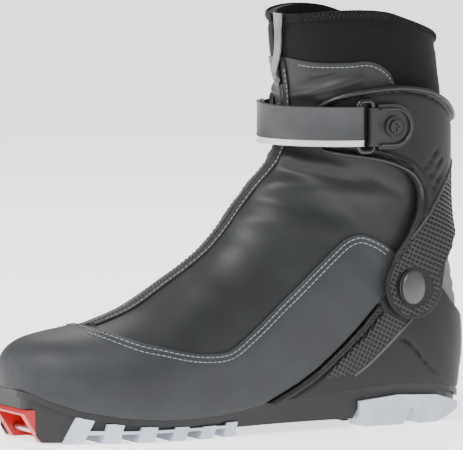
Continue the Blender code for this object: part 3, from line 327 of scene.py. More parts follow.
def split(polys, params, value, level):
    """Cut the polygons along value = level, adding points on their edges."""
    shared, out = {}, []
    params, value = list(map(tuple, params)), list(value)
    for poly in polys:
        signs = [value[i] > level for i in poly]
        if all(signs) or not any(signs):
            out.append(poly)
            continue
        low, high = [], []
        for k, a in enumerate(poly):
            b = poly[(k + 1) % len(poly)]
            (high if value[a] > level else low).append(a)
            if (value[a] > level) != (value[b] > level):
                key = (min(a, b), max(a, b))
                if key not in shared:
                    f = (level - value[key[0]]) / (value[key[1]] - value[key[0]])
                    if f < 0.08 or f > 0.92:
                        shared[key] = key[0] if f < 0.08 else key[1]
                    else:
                        pa, pb = params[key[0]], params[key[1]]
                        params.append(tuple(pa[c] + f * (pb[c] - pa[c]) for c in range(2)))
                        value.append(level)
                        shared[key] = len(params) - 1
                m = shared[key]
                low.append(m)
                high.append(m)
        for part in (low, high):
            part = [v for k, v in enumerate(part) if v != part[k - 1]]
            if len(set(part)) >= 3 and len(set(part)) == len(part):
                out.append(part)
    snapped = {i for i in shared.values() if i < len(params)}
    for i in snapped:
        value[i] = level if abs(value[i] - level) < 0.6 else value[i]
    return out, params, value


def panel(name, look, u_range, t_range, step, keep, outer, inner, body=None, rim=0.7, levels=(),
          wrap=False, replaces=(), slot=None):
    """Solid sheet on the upper.  keep(x, z, u, t) is the distance inside its edge; outer and inner give
    the offsets of its faces from (x, z, u, t, distance inside).  The outer edge is rounded by rim."""
    us = u_steps(*u_range, step)
    count = max(int((t_range[1] - t_range[0]) * 125.0 / step), 4)
    ts = np.linspace(*t_range, count + 1)
    gu, gt = np.meshgrid(us, ts, indexing="ij")
    params = np.stack([gu.ravel(), gt.ravel()], axis=1)
    p = skin(params[:, 0], params[:, 1])
    value = keep(p[:, 0], p[:, 2], params[:, 0], params[:, 1])
    columns = len(ts)
    polys = []
    for r in range(len(us) - 1):
        for c in range(columns - 1):
            a = r * columns + c
            quad = [a, a + 1, a + 1 + columns, a + columns]
            if max(value[i] for i in quad) > 0:
                polys.append(quad)
    marks = [0.0, rim * 0.15, rim * 0.5, rim] + list(levels)
    for level in marks:
        polys, params, value = split(polys, params, value, level)
    value = np.array(value)
    polys = [q for q in polys if np.mean(value[q]) > 0]
    if wrap:
        ends = {}
        for i, (u, t) in enumerate(params):
            if abs(t - t_range[0]) < 1e-9:
                ends[round(u, 7)] = i
        swap = {i: ends[round(u, 7)] for i, (u, t) in enumerate(params)
                if abs(t - t_range[1]) < 1e-9 and round(u, 7) in ends}
        polys = [[swap.get(i, i) for i in q] for q in polys]
    used = sorted({i for q in polys for i in q})
    index = {i: k for k, i in enumerate(used)}
    polys = [[index[i] for i in q] for q in polys]
    params = np.array([params[i] for i in used])
    d = np.maximum(value[used], 0.0)
    base = skin(params[:, 0], params[:, 1])
    n = normals(params[:, 0], params[:, 1])
    x, z = base[:, 0], base[:, 2]
    low, high = (face(x, z, params[:, 0], params[:, 1], d) if callable(face) else np.full(len(d), float(face))
                 for face in (inner, outer))
    q = np.clip(d / rim, 0, 1)
    rounded = np.minimum(high - low, rim)
    high = high - rounded * 0.85 * (1 - np.sqrt(1 - (1 - q) ** 2))
    count = len(used)
    points = np.vstack([base + high[:, None] * n, base + low[:, None] * n])
    faces = [q[::-1] for q in polys] + [[i + count for i in q] for q in polys]
    edges = {}
    for q in polys:
        for k, a in enumerate(q):
            b = q[(k + 1) % len(q)]
            if (b, a) in edges:
                del edges[(b, a)]
            else:
                edges[(a, b)] = True
    faces += [[a, b, b + count, a + count] for a, b in edges]
    arc = np.interp(params[:, 0], ARC_U, ARC) * MM
    uv = np.stack([params[:, 1] * 0.125, arc], axis=1)
    return put(name, points, faces, look, body, np.vstack([uv, uv]), 45.0, replaces, slot, solid=True)


def flip_out(made):
    """Make the faces point out."""
    work = bmesh.new()
    work.from_mesh(made.data)
    bmesh.ops.remove_doubles(work, verts=work.verts[:], dist=1e-6)
    bmesh.ops.recalc_face_normals(work, faces=work.faces[:])
    if work.calc_volume(signed=True) < 0:
        bmesh.ops.reverse_faces(work, faces=work.faces[:])
    work.to_mesh(made.data)
    work.free()


def loft_faces(rows, count, caps=True):
    """Faces between closed rows of points, with a cap on the first and the last row."""
    faces = []
    for k in range(rows - 1):
        for j in range(count):
            a, b = k * count + j, k * count + (j + 1) % count
            faces.append([a, b, b + count, a + count])
    if caps:
        faces += [list(range(count))[::-1], [(rows - 1) * count + j for j in range(count)]]
    return faces


def tube_parts(path, normal, radius, sides=8, flat=1.0):
    """Points and faces of a tube along a path; flat squeezes it along the normal."""
    path, normal = np.asarray(path, float), np.asarray(normal, float)
    radius = np.broadcast_to(np.asarray(radius, float), (len(path),))
    tangent = np.gradient(path, axis=0)
    tangent /= np.maximum(np.linalg.norm(tangent, axis=1, keepdims=True), 1e-9)
    side = np.cross(tangent, normal)
    side /= np.maximum(np.linalg.norm(side, axis=1, keepdims=True), 1e-9)
    up = np.cross(side, tangent)
    angles = np.linspace(0, 2 * math.pi, sides, endpoint=False)
    points = [path[k] + radius[k] * (math.cos(a) * side[k] + flat * math.sin(a) * up[k])
              for k in range(len(path)) for a in angles]
    return points, loft_faces(len(path), sides)


def join_parts(parts):
    points, faces = [], []
    for p, f in parts:
        base = len(points)
        points += list(p)
        faces += [[i + base for i in q] for q in f]
    return points, faces


def resample(path, step):
    """Points at equal distances along a path."""
    path = np.asarray(path, float)
    length = np.concatenate([[0], np.cumsum(np.linalg.norm(np.diff(path, axis=0), axis=1))])
    count = max(int(length[-1] / step), 2)
    at = np.linspace(0, length[-1], count + 1)
    return np.stack([np.interp(at, length, path[:, c]) for c in range(path.shape[1])], axis=1)


def param_path(line, sign, step=1.5):
    """Surface parameters along a side-view line."""
    return on_side(resample(smooth(line, 6), step), sign)


def ridge(name, line, sign, offset, radius, look, body, slot):
    """Raised cord that follows a side-view line on the upper and thins at its ends."""
    par = param_path(line, sign)
    size = np.full(len(par), radius)
    size[0] = size[-1] = radius * 0.45
    size[1] = size[-2] = radius * 0.85
    points = surf(*par.T, np.full(len(par), offset))
    return put(name, *tube_parts(points, normals(*par.T), size), look, body, slot=slot)


def stitch_parts(par, offset, pitch=3.4, long=2.3, radius=0.36):
    """Thread stitches along surface parameters, dipping into the material at both ends."""
    p = skin(par[:, 0], par[:, 1])
    length = np.concatenate([[0], np.cumsum(np.linalg.norm(np.diff(p, axis=0), axis=1))])
    parts = []
    at = 0.5
    while at + long < length[-1]:
        here = np.linspace(at, at + long, 5)
        u, t = np.interp(here, length, par[:, 0]), np.interp(here, length, par[:, 1])
        lift = offset + np.array([-0.3, 0.12, 0.2, 0.12, -0.3])
        parts.append(tube_parts(surf(u, t, lift), normals(u, t), radius, 6))
        at += pitch
    return parts


def seam(name, lines, offset, look, body, pitch=3.4, long=2.3, radius=0.36, slot=None):
    """Rows of stitches; each line is (side-view points, side)."""
    parts = []
    for line, sign in lines:
        parts += stitch_parts(param_path(line, sign), offset, pitch, long, radius)
    return put(name, *join_parts(parts), look, body, slot=slot)


def front_line(us):
    """Points and normals along the centre of the front."""
    t = np.full(len(us), 1e-4)
    n = normals(us, t)
    n[:, 1] = 0
    return skin(us, t), n


def across_ankle(made):
    """Bake a soft piece's placement into its mesh points."""
    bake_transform(made)


def shifted(line, distance):
    """Side-view line moved to its left by a distance."""
    p = smooth(line, 6)
    tangent = np.gradient(p, axis=0)
    n = np.stack([-tangent[:, 1], tangent[:, 0]], axis=1)
    n /= np.linalg.norm(n, axis=1, keepdims=True)
    return (p + distance * n)[::3]


# --- materials
class Look:
    """Principled material with procedural detail."""

    def __init__(self, name, colour, rough, metallic=0.0, coords="Object"):
        self.made = bpy.data.materials.new(name)
        self.made.use_nodes = True
        self.tree = self.made.node_tree
        self.shader = self.tree.nodes["Principled BSDF"]
        self.shader.inputs["Base Color"].default_value = (*colour, 1.0)
        self.shader.inputs["Roughness"].default_value = rough
        self.shader.inputs["Metallic"].default_value = metallic
        self.coords = self.tree.nodes.new("ShaderNodeTexCoord").outputs[coords]
        self.height = None

    def node(self, kind, **values):
        made = self.tree.nodes.new(kind)
        for key, value in values.items():
            setattr(made, key, value)
        return made

    def link(self, a, b):
        self.tree.links.new(a, b)

    def noise(self, scale, detail=3.0, rough=0.55, stretch=None):
        texture = self.node("ShaderNodeTexNoise")
        texture.inputs["Scale"].default_value = scale
        texture.inputs["Detail"].default_value = detail
        texture.inputs["Roughness"].default_value = rough
        source = self.coords
        if stretch:
            mapping = self.node("ShaderNodeMapping")
            mapping.inputs["Scale"].default_value = stretch
            self.link(source, mapping.inputs["Vector"])
            source = mapping.outputs["Vector"]
        self.link(source, texture.inputs["Vector"])
        return texture.outputs["Fac"]

    def weave(self, pitch):
        """Crossed bands of yarn."""
        out = []
        for direction in ("X", "Y"):
            wave = self.node("ShaderNodeTexWave", bands_direction=direction)
            wave.inputs["Scale"].default_value = math.pi / (10 * pitch)
            self.link(self.coords, wave.inputs["Vector"])
            out.append(wave.outputs["Fac"])
        return self.math("MULTIPLY", *out)

    def math(self, operation, a, b):
        made = self.node("ShaderNodeMath", operation=operation)
        for k, value in enumerate((a, b)):
            if isinstance(value, (int, float)):
                made.inputs[k].default_value = value
            else:
                self.link(value, made.inputs[k])
        return made.outputs[0]

    def tint(self, fac, dark, light, low=0.35, high=0.65):
        """Colour that varies between two tones."""
        made = self.node("ShaderNodeValToRGB")
        made.color_ramp.elements[0].position = low
        made.color_ramp.elements[1].position = high
        made.color_ramp.elements[0].color = (*dark, 1.0)
        made.color_ramp.elements[1].color = (*light, 1.0)
        self.link(fac, made.inputs["Fac"])
        self.link(made.outputs["Color"], self.shader.inputs["Base Color"])

    def gloss(self, fac, low, high):
        made = self.node("ShaderNodeMapRange")
        made.inputs["To Min"].default_value = low
        made.inputs["To Max"].default_value = high
        self.link(fac, made.inputs["Value"])
        self.link(made.outputs["Result"], self.shader.inputs["Roughness"])

    def bump(self, fac, depth, strength=1.0):
        made = self.node("ShaderNodeBump")
        made.inputs["Strength"].default_value = strength
        made.inputs["Distance"].default_value = depth
        self.link(fac, made.inputs["Height"])
        if self.height:
            self.link(self.height, made.inputs["Normal"])
        self.height = made.outputs["Normal"]
        self.link(self.height, self.shader.inputs["Normal"])


def tone(colour, factor):
    return tuple(min(c * factor, 1.0) for c in colour)


def grained(name, colour, rough, grain, depth, coords="UV", sheen=0.0, spec=0.3):
    """Leather-like or moulded surface."""
    look = Look(name, colour, rough, coords=coords)
    look.tint(look.noise(40.0, 4.0), tone(colour, 0.88), tone(colour, 1.12))
    fine = look.noise(grain, 3.0, 0.6)
    look.gloss(fine, rough - 0.06, rough + 0.08)
    look.bump(look.noise(60.0, 3.0), depth * 4, 0.4)
    look.bump(fine, depth)
    look.shader.inputs["Sheen Weight"].default_value = sheen
    look.shader.inputs["Sheen Roughness"].default_value = 0.5
    look.shader.inputs["Specular IOR Level"].default_value = spec
    return look.made


def woven(name, colour, rough, pitch, depth, coords="UV", sheen=0.1):
    """Cloth with a visible weave."""
    look = Look(name, colour, rough, coords=coords)
    yarn = look.weave(pitch)
    look.tint(yarn, tone(colour, 0.7), tone(colour, 1.15), 0.1, 0.8)
    look.gloss(look.noise(300.0), rough - 0.08, rough + 0.08)
    look.bump(look.noise(500.0), depth * 0.6)
    look.bump(yarn, depth)
    look.shader.inputs["Sheen Weight"].default_value = sheen
    look.shader.inputs["Specular IOR Level"].default_value = 0.2
    return look.made


def plain_plastic(name, colour, rough, scuff=0.08, coords="Object", spec=0.5):
    """Moulded plastic with faint flow marks and fine texture."""
    look = Look(name, colour, rough, coords=coords)
    look.tint(look.noise(60.0, 4.0), tone(colour, 0.9), tone(colour, 1.1))
    look.gloss(look.noise(180.0, 4.0), rough - scuff, rough + scuff)
    look.bump(look.noise(1500.0, 2.0), 0.00004)
    look.shader.inputs["Specular IOR Level"].default_value = spec
    return look.made


def metal(name, colour, rough):
    look = Look(name, colour, rough, 1.0)
    look.gloss(look.noise(900.0, 3.0, 0.6, (1.0, 0.04, 1.0)), rough - 0.08, rough + 0.12)
    look.bump(look.noise(1400.0, 2.0, 0.5, (1.0, 0.04, 1.0)), 0.00002)
    look.tint(look.noise(200.0), tone(colour, 0.92), tone(colour, 1.05))
    return look.made


WRAP = grained("overlay_leather", (0.029, 0.031, 0.034), 0.52, 1500.0, 0.00008)
SHELL = grained("softshell_coated", (0.017, 0.0185, 0.0195), 0.46, 900.0, 0.00003)
# medial softshell: the same coated softshell painted lighter, a painted highlight on the medial side along
# the zip
SHELL_PAINTED_HIGHLIGHT = grained("softshell_medial_painted_highlight", (0.045, 0.049, 0.055), 0.46, 900.0, 0.00003)
NEOPRENE = grained("neoprene", (0.0045, 0.0045, 0.005), 0.75, 2200.0, 0.00006, sheen=0.05, spec=0.12)
LINING = woven("lining_knit", (0.008, 0.008, 0.009), 0.85, 0.0012, 0.00015)
GREY = woven("grey_woven", (0.16, 0.165, 0.16), 0.8, 0.0016, 0.0002)
MOULD = grained("moulded_plastic", (0.0095, 0.0102, 0.0098), 0.5, 1800.0, 0.00006, spec=0.25)
MOULD_SMOOTH = plain_plastic("moulded_smooth", (0.0095, 0.010, 0.0097), 0.42)
MOULD_RIB = plain_plastic("moulded_rib", (0.026, 0.027, 0.026), 0.45)
SOLE = plain_plastic("sole_black", (0.007, 0.0075, 0.0085), 0.5, 0.1)
TREAD = plain_plastic("tread_white", (0.5, 0.54, 0.62), 0.45, 0.1)
RED = plain_plastic("toe_red", (0.42, 0.006, 0.006), 0.35)
STEEL = metal("steel_brushed", (0.62, 0.62, 0.6), 0.28)
DARK_STEEL = metal("steel_black", (0.05, 0.05, 0.052), 0.35)
THREAD = woven("thread", (0.26, 0.27, 0.28), 0.7, 0.0006, 0.0001, "Object")
THREAD_DARK = woven("thread_dark", (0.012, 0.012, 0.012), 0.7, 0.0006, 0.0001, "Object")
BOARD = woven("fibre_board", (0.3, 0.25, 0.18), 0.9, 0.002, 0.0001, "Object")
ZIP = plain_plastic("zip_coil", (0.022, 0.022, 0.022), 0.4, coords="Object")
ZIP_TAPE = woven("zip_tape", (0.02, 0.021, 0.019), 0.7, 0.0007, 0.0001)
WEBBING = woven("pull_webbing", (0.22, 0.22, 0.21), 0.8, 0.0013, 0.0002, "Object")
STRAP_GREY = grained("strap_grey", (0.045, 0.047, 0.050), 0.5, 1600.0, 0.00004, coords="Object")
STRAP_WHITE = grained("strap_white", (0.55, 0.56, 0.57), 0.5, 1600.0, 0.00004, coords="Object")
STRAP_DARK = grained("strap_dark", (0.012, 0.012, 0.013), 0.6, 1600.0, 0.00004, coords="Object")
RING_LOOK = plain_plastic("ring_gloss", (0.008, 0.008, 0.009), 0.14, 0.04)
CAP_LOOK = plain_plastic("cap_dome", (0.045, 0.048, 0.046), 0.36, 0.05)


def dress(node, look, bevel=0.0, segments=2, angle=35.0):
    """Give a CAD node its finish, with softened edges."""
    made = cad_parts[node]
    made.data.materials.clear()
    made.data.materials.append(look)
    if bevel:
        modifier = made.modifiers.new("soft_edges", "BEVEL")
        modifier.width = bevel * MM
        modifier.segments = segments
        modifier.limit_method = "ANGLE"
        modifier.angle_limit = math.radians(angle)
        modifier.use_clamp_overlap = True
        modifier.harden_normals = False


# --- soft upper
def creases(x, z, lines):
    """Sum of folds: each is ((x0, z0), (x1, z1), half width, height)."""
    total = np.zeros(x.shape)
    for a, b, half, height in lines:
        d = near([a, b], x, z)
        total += height * np.exp(-(d / half) ** 2)
    return total


def waviness(x, z, t, scale, seed=0.0):
    """Gentle unevenness of soft material."""
    y = np.asarray(t) * 125.0
    a = np.sin(x / (9.0 * scale) + 1.3 * np.sin(z / (14.0 * scale) + seed) + seed)
    b = np.sin(z / (11.0 * scale) + 1.7 * np.sin(y / (17.0 * scale) + 2 * seed) + 0.7)
    c = np.sin((x + z) / (21.0 * scale) + y / (23.0 * scale) + seed)
    return (a * b + c) / 2


def above_sole(x, z):
    return z - sole_height(x) - 0.3


WRAP_OUTLINE = ([(170.0, 67.5)] + [tuple(p) for p in smooth(WRAP_EDGE, 5)]
                + [(-93.0, 100.0), (-91.0, 92.0), (-84.0, 80.0)]
                + [(x + 1.6, z + 0.4) for x, z in COUNTER_FRONT[::-1]] + [(8.0, 5.0), (170.0, 5.0)])


def make_toe_wrap():
    def keep(x, z, u, t):
        return np.minimum(inside(WRAP_OUTLINE, x, z), above_sole(x, z))

    def outer(x, z, u, t, d):
        edge = near(smooth(WRAP_EDGE, 5), x, z)
        groove = 0.22 * np.exp(-((edge - 2.2) / 0.8) ** 2) + 0.22 * np.exp(-((edge - 5.0) / 0.8) ** 2)
        lip = 0.25 * np.exp(-((edge - 0.9) / 0.7) ** 2)
        pucker = 0.12 * waviness(x, z, t, 0.8) * ramp(edge, 3.0, 16.0)
        dent = -0.5 * np.exp(-((x - 20) / 26) ** 2 - ((z - 36) / 9) ** 2)
        return 1.7 - groove + lip + pucker + dent * 0.6

    panel("overlay", WRAP, (-1, 19), (-BACK, BACK), 1.9, keep, outer, 0.5, "boot", 0.9,
          levels=(2.2, 5.0), wrap=True, replaces=("toe_wrap",), slot="overlay")
    rows = []
    for sign in (1, -1):
        for depth in (-2.2, -5.0):
            rows.append((shifted(WRAP_EDGE[::-1], depth)[1:], sign))
    seam("overlay_stitching", rows, 1.75, THREAD, "boot")


def softshell_outline():
    seam_line = [(x, z - 8.0) for x, z in WRAP_EDGE[1:-2]]
    return ([(96.5, 120.0), (96.5, 57.0)] + seam_line[1:] + [(-88.0, 99.0), (-100.0, 101.0), (-112.0, 104.0)]
            + [tuple(p) for p in smooth(SOFTSHELL_TOP, 4)[::-1]] + [(-10.0, 224.5), (30.0, 160.0)])


FOLDS = [((-30, 199), (-66, 211), 3.0, 1.5), ((-34, 204), (-62, 218), 2.4, -0.8),
         ((-45, 198), (-80, 206), 2.4, 1.0), ((-22, 164), (-62, 157), 3.4, 1.5),
         ((-20, 158), (-70, 148), 3.4, -1.0), ((-13, 148), (-78, 141), 4.5, 1.3),
         ((-6, 141), (-60, 128), 4.0, -0.9), ((2, 128), (-56, 119), 5.0, 0.8),
         ((-60, 158), (-92, 142), 3.0, -0.8), ((-40, 214), (-74, 219), 2.0, 0.6),
         ((16, 112), (-20, 100), 6.0, 0.5), ((40, 92), (10, 76), 8.0, 0.4)]


def make_softshell(sign, name, look, node):
    outline = softshell_outline()

    def keep(x, z, u, t):
        p = skin(u, t)
        return np.minimum(inside(outline, x, z), np.abs(p[:, 1]) - 3.4)

    def outer(x, z, u, t, d):
        top = near(smooth(SOFTSHELL_TOP, 4), x, z)
        lay = creases(x, z, FOLDS) * ramp(np.abs(t), 0.02, 0.14) * 1.25
        lay = lay + 0.3 * waviness(x, z, t, 1.0, sign) * ramp(z, 60, 120)
        strap = np.minimum(ramp(z, 163, 172), 1 - ramp(z, 193, 201)) * (x > -70)
        lay = lay * (1 - strap) - 0.4 * strap
        return 0.15 + np.minimum(lay, 2.0) * ramp(top, 0.5, 7.0) - 0.2 * np.exp(-((top - 2.6) / 0.7) ** 2)

    def inner(x, z, u, t, d):
        return outer(x, z, u, t, d) - 1.1

    t_range = (0.02, 1.0) if sign > 0 else (-1.0, -0.02)
    made = panel(name, look, (4.5, 26), t_range, 1.8, keep, outer, inner, None, 0.5,
                 replaces=(node,), slot="softshell")
    across_ankle(made)
    return made


def make_achilles():
    outline = [(-112.4, 196.0), (-180.0, 196.0), (-180.0, 45.0), (-126.0, 62.0), (-112.4, 84.0)]

    def keep(x, z, u, t):
        return inside(outline, x, z)

    def outer(x, z, u, t, d):
        rib = 0.4 * np.cos((z - 45.0 * (BACK - np.abs(t))) * 2 * math.pi / 9.0) * ramp(d, 1.0, 5.0)
        return 0.1 + rib

    made = panel("achilles_stretch", GREY, (15, 26), FULL, 1.8, keep, outer, -1.0,
                 None, 0.4, wrap=True, replaces=("achilles_panel",), slot="grey_fabric")
    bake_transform(made)


def make_gaiter_seams():
    top = [(-36.0, 221.9), (-41.2, 220.8), (-58.7, 220.9), (-72.3, 221.5), (-84.0, 215.7), (-90.5, 207.5)]
    rows = [(shifted(top, 2.6), sign) for sign in (1, -1)]
    seam("gaiter_top_stitching", rows, 0.15, THREAD, "cuff", 3.0, 2.0, 0.3)


# --- lining and collar
def from_hinge(angle, radius, lift):
    a = math.radians(angle)
    return (HINGE[0] + radius * math.cos(a), HINGE[1] + lift + radius * math.sin(a))


FOOT_ZONE = [from_hinge(0, 0, -5), from_hinge(16, 300, -5), (200.0, -30.0), (-200.0, -30.0),
             from_hinge(199, 100, -5)]
SHAFT_ZONE = [from_hinge(0, 0, 5), from_hinge(143, 100, 5), (-200.0, 197.7), (60.0, 197.7),
              from_hinge(38, 130, 5)]
SHAFT_TALL = [from_hinge(0, 0, 4.4), from_hinge(143, 100, 4.4), (-200.0, 400.0), (60.0, 400.0),
              from_hinge(38, 130, 4.4)]
FOOT_RAISED = [from_hinge(0, 0, -4.4), from_hinge(16, 300, -4.4), (200.0, -30.0), (-200.0, -30.0),
               from_hinge(199, 100, -4.4)]


def throat(x, z, u, t):
    """Distance outside the slit under the zip."""
    y = np.abs(skin(u, t)[:, 1]) - 2.0
    return np.where((x > -60) & (x < 84) & (np.abs(t) < 0.5), y, 50.0)


def make_lining():
    def pillow(x, z, u, t, d):
        return -7.0 - 0.5 * np.sin(z / 7.0) * np.sin(t * 22.0) * ramp(d, 1.0, 6.0)

    def foot_keep(x, z, u, t):
        return np.minimum.reduce([inside(FOOT_ZONE, x, z), above_sole(x, z), throat(x, z, u, t)])

    def shaft_keep(x, z, u, t):
        return np.minimum(inside(SHAFT_ZONE, x, z), throat(x, z, u, t))

    def ankle_keep(x, z, u, t):
        return np.minimum.reduce([-inside(FOOT_RAISED, x, z), -inside(SHAFT_TALL, x, z), throat(x, z, u, t)])

    foot = panel("foot_lining", LINING, (-1, 20), FULL, 3.4, foot_keep, -1.6, pillow, "boot", 0.6, wrap=True,
                 replaces=("foot_padding",), slot="lining_foam")
    shaft = panel("shaft_lining", LINING, (12, TOP), FULL, 2.8, shaft_keep, -1.6, pillow, "cuff", 0.6,
                  wrap=True, replaces=("shaft_padding",), slot="lining_foam")
    def heel_room(z, t):
        """Clearance behind the heel for the lean of the cuff."""
        return ramp(np.abs(t), 0.66, 0.9) * (1 - ramp(z, 108.0, 126.0))

    def ankle_outer(x, z, u, t, d):
        return -1.6 - 4.6 * heel_room(z, t)

    def ankle_inner(x, z, u, t, d):
        return pillow(x, z, u, t, d) - 1.8 * heel_room(z, t)

    ankle = panel("ankle_lining", LINING, (9, 24), FULL, 2.8, ankle_keep, ankle_outer, ankle_inner, None,
                  0.6, wrap=True, replaces=("ankle_padding",), slot="lining_foam")
    across_ankle(ankle)


def make_tongue():
    us = u_steps(7.5, TOP - 0.6, 3.0)
    points, uvs = [], []
    profile = [(-9.0, -12.8), (-8.3, -12.1), (-5.0, -11.9), (0.0, -12.0), (5.0, -11.9), (8.3, -12.1),
               (9.0, -12.8), (8.4, -14.6), (4.0, -15.1), (0.0, -14.7), (-4.0, -15.1), (-8.4, -14.6)]
    base, n = front_line(us)
    for k in range(len(us)):
        for y, depth in profile:
            ripple = 0.25 * math.sin(k * 0.7) if depth > -12.5 else 0.0
            point = base[k] + (depth + ripple) * n[k]
            points.append((point[0], y, point[2]))
            uvs.append((y * MM, ARC_U[0] + k * 3.0 * MM))
    made = put("tongue_pad", points, loft_faces(len(us), len(profile)), LINING, None, uvs,
               replaces=("tongue",), slot="lining_foam", solid=True)
    across_ankle(made)


def slit(x, z, u, t):
    """Distance outside the collar's V opening."""
    p = skin(u, t)
    half = np.interp(p[:, 2], [190.0, 212.0, 262.0], [2.0, 3.0, 8.5])
    return np.where(np.abs(t) < 0.5, np.abs(p[:, 1]) - half, 50.0)


def make_collar():
    rim = smooth(RIM, 5)
    outline = [(x, z - 0.9) for x, z in rim] + [(-180.0, 198.0), (20.0, 198.0)]

    def keep(x, z, u, t):
        return np.minimum(inside(outline, x, z), slit(x, z, u, t))

    def outer(x, z, u, t, d):
        top = near(rim, x, z)
        pinch = -0.45 * np.exp(-((top - 7.5) / 1.6) ** 2)
        return -1.6 + 0.5 * ramp(top, 6, 14) * (0.4 + waviness(x, z, t, 1.6, 1.0) * 0.5) + pinch + 0.3

    def inner(x, z, u, t, d):
        return -6.5 + 0.3 * waviness(x, z, t, 1.2, 4.0) * ramp(d, 2, 8)

    made = panel("collar_neoprene", NEOPRENE, (21.5, TOP), FULL, 2.0, keep, outer, inner, "cuff", 1.4,
                 wrap=True, replaces=("collar",), slot="collar_neoprene")
    band_outline = list(map(tuple, rim)) + [(x, z - 5.0) for x, z in rim[::-1]]

    def band_keep(x, z, u, t):
        return np.minimum(inside(band_outline, x, z), slit(x, z, u, t))

    def band_outer(x, z, u, t, d):
        return -0.35 + 0.12 * np.sin(np.asarray(t) * 125.0 * 2 * math.pi / 2.2)

    panel("collar_edge_band", NEOPRENE, (23.6, TOP), FULL, 1.1, band_keep, band_outer, -1.45, "cuff", 0.5,
          wrap=True, replaces=("collar_binding",), slot="collar_neoprene")
    parts = []
    for sign in (1, -1):
        line = shifted(RIM, 2.5)
        par = on_side(resample(line, 1.1), sign)
        par = par[(np.abs(par[:, 1]) > 0.1)]
        p, n = surf(par[:, 0], par[:, 1], np.full(len(par), -0.05)), normals(par[:, 0], par[:, 1])
        for k in range(1, len(par) - 1):
            rise = 1.7 if k % 2 else -1.7
            a, b = p[k] + np.array([0, 0, rise]), p[k + 1] + np.array([0, 0, -rise])
            parts.append(tube_parts([a, (a + b) / 2 + 0.15 * n[k], b], [n[k]] * 3, 0.2, 5))
    put("collar_overlock", *join_parts(parts), THREAD_DARK, "cuff", slot="collar_neoprene")


# --- zip
def under_slider(z):
    """How far along the slider's travel a height lies, with soft ends."""
    return np.minimum(ramp(z, 192.0, 197.0), 1 - ramp(z, 213.0, 218.0))


def make_zip():
    def chain_keep(x, z, u, t):
        return 3.1 - np.abs(skin(u, t)[:, 1])

    def chain_outer(x, z, u, t, d):
        return -0.35 - 0.55 * under_slider(z)

    made = panel("zip_tape", ZIP_TAPE, (6.5, 23.4), (-0.2, 0.2), 1.4, chain_keep, chain_outer, -1.5, None,
                 0.3, replaces=("zip_chain",), slot="zip")
    across_ankle(made)
    parts = []
    us = u_steps(6.55, 23.35, 1.25)
    base, n = front_line(us)
    for k in range(len(us)):
        side = 1 if k % 2 else -1
        ys = np.array([-0.5, 0.6, 1.7, 2.2]) * side
        lift = np.array([-0.1, 0.2, 0.1, -0.35])
        path = [(base[k] + h * n[k]) * np.array([1, 0, 1]) + np.array([0, y, 0]) for y, h in zip(ys, lift)]
        parts.append(tube_parts(path, [n[k]] * 4, 0.5, 6))
    teeth = put("zip_teeth", *join_parts(parts), ZIP, slot="zip")
    across_ankle(teeth)

    def facing_keep(x, z, u, t):
        y = skin(u, t)[:, 1]
        return np.minimum(y - 3.4, 8.4 - y)

    def facing_outer(x, z, u, t, d):
        return 1.25 + 0.1 * waviness(x, z, t, 0.6)

    flap = panel("zip_flap", ZIP_TAPE, (6.5, 24.6), (0.02, 0.3), 1.3, facing_keep, facing_outer, 0.35, None,
                 0.5, replaces=("zip_facing",), slot="zip")
    across_ankle(flap)
    rows = []
    for y in (7.4, -6.0):
        us = u_steps(6.9, 22.6 if y < 0 else 24.4, 2.0)
        ts = []
        for u in us:
            guess = np.linspace(0.005, 0.4, 200) * (1 if y > 0 else -1)
            reach = skin(np.full(200, u), guess)[:, 1]
            ts.append(float(guess[np.argmin(np.abs(reach - y))]))
        par = np.stack([us, np.array(ts)], axis=1)
        rows += stitch_parts(par, 1.3 if y > 0 else 0.25, 3.2, 2.1, 0.32)
    thread = put("zip_stitching", *join_parts(rows), THREAD, slot="zip")
    across_ankle(thread)


# --- counter and cuff
def cuff_gap(x, z):
    distance = np.hypot(x - HINGE[0], z - HINGE[1])
    return 2.8 + 2.5 * ramp(70.0 - distance, 0.0, 40.0)


def hatch(name, outline, border, hole, offset, body, pitch=2.7):
    """Diamond lattice of raised ribs inside a side-view outline, on both sides."""
    outline = np.array(outline)
    centre, reach = outline.mean(axis=0), 90.0
    parts = []
    for sign in (1, -1):
        for angle in (26.0, 112.0):
            a = math.radians(angle)
            along, across = np.array([math.cos(a), math.sin(a)]), np.array([-math.sin(a), math.cos(a)])
            for k in range(-int(reach / pitch), int(reach / pitch) + 1):
                line = centre + k * pitch * across + np.linspace(-reach, reach, 121)[:, None] * along
                clear = inside(outline, line[:, 0], line[:, 1]) > 0.4
                clear &= np.hypot(line[:, 0] - HINGE[0], line[:, 1] - HINGE[1]) > hole
                edges = np.flatnonzero(np.diff(np.concatenate([[0], clear.astype(int), [0]])))
                for i, j in zip(edges[::2], edges[1::2]):
                    if j - i < 3:
                        continue
                    par = on_side(line[i:j], sign)
                    base, n = skin(*par.T), normals(*par.T)
                    lift = offset(base[:, 0], base[:, 2]) + 0.02
                    parts.append(tube_parts(base + lift[:, None] * n, n, 0.42, 5))
        par = param_path(border, sign)
        base, n = skin(*par.T), normals(*par.T)
        parts.append(tube_parts(base + offset(base[:, 0], base[:, 2])[:, None] * n, n, 0.9, 6))
    return put(name, *join_parts(parts), MOULD_RIB, body, slot="moulded")


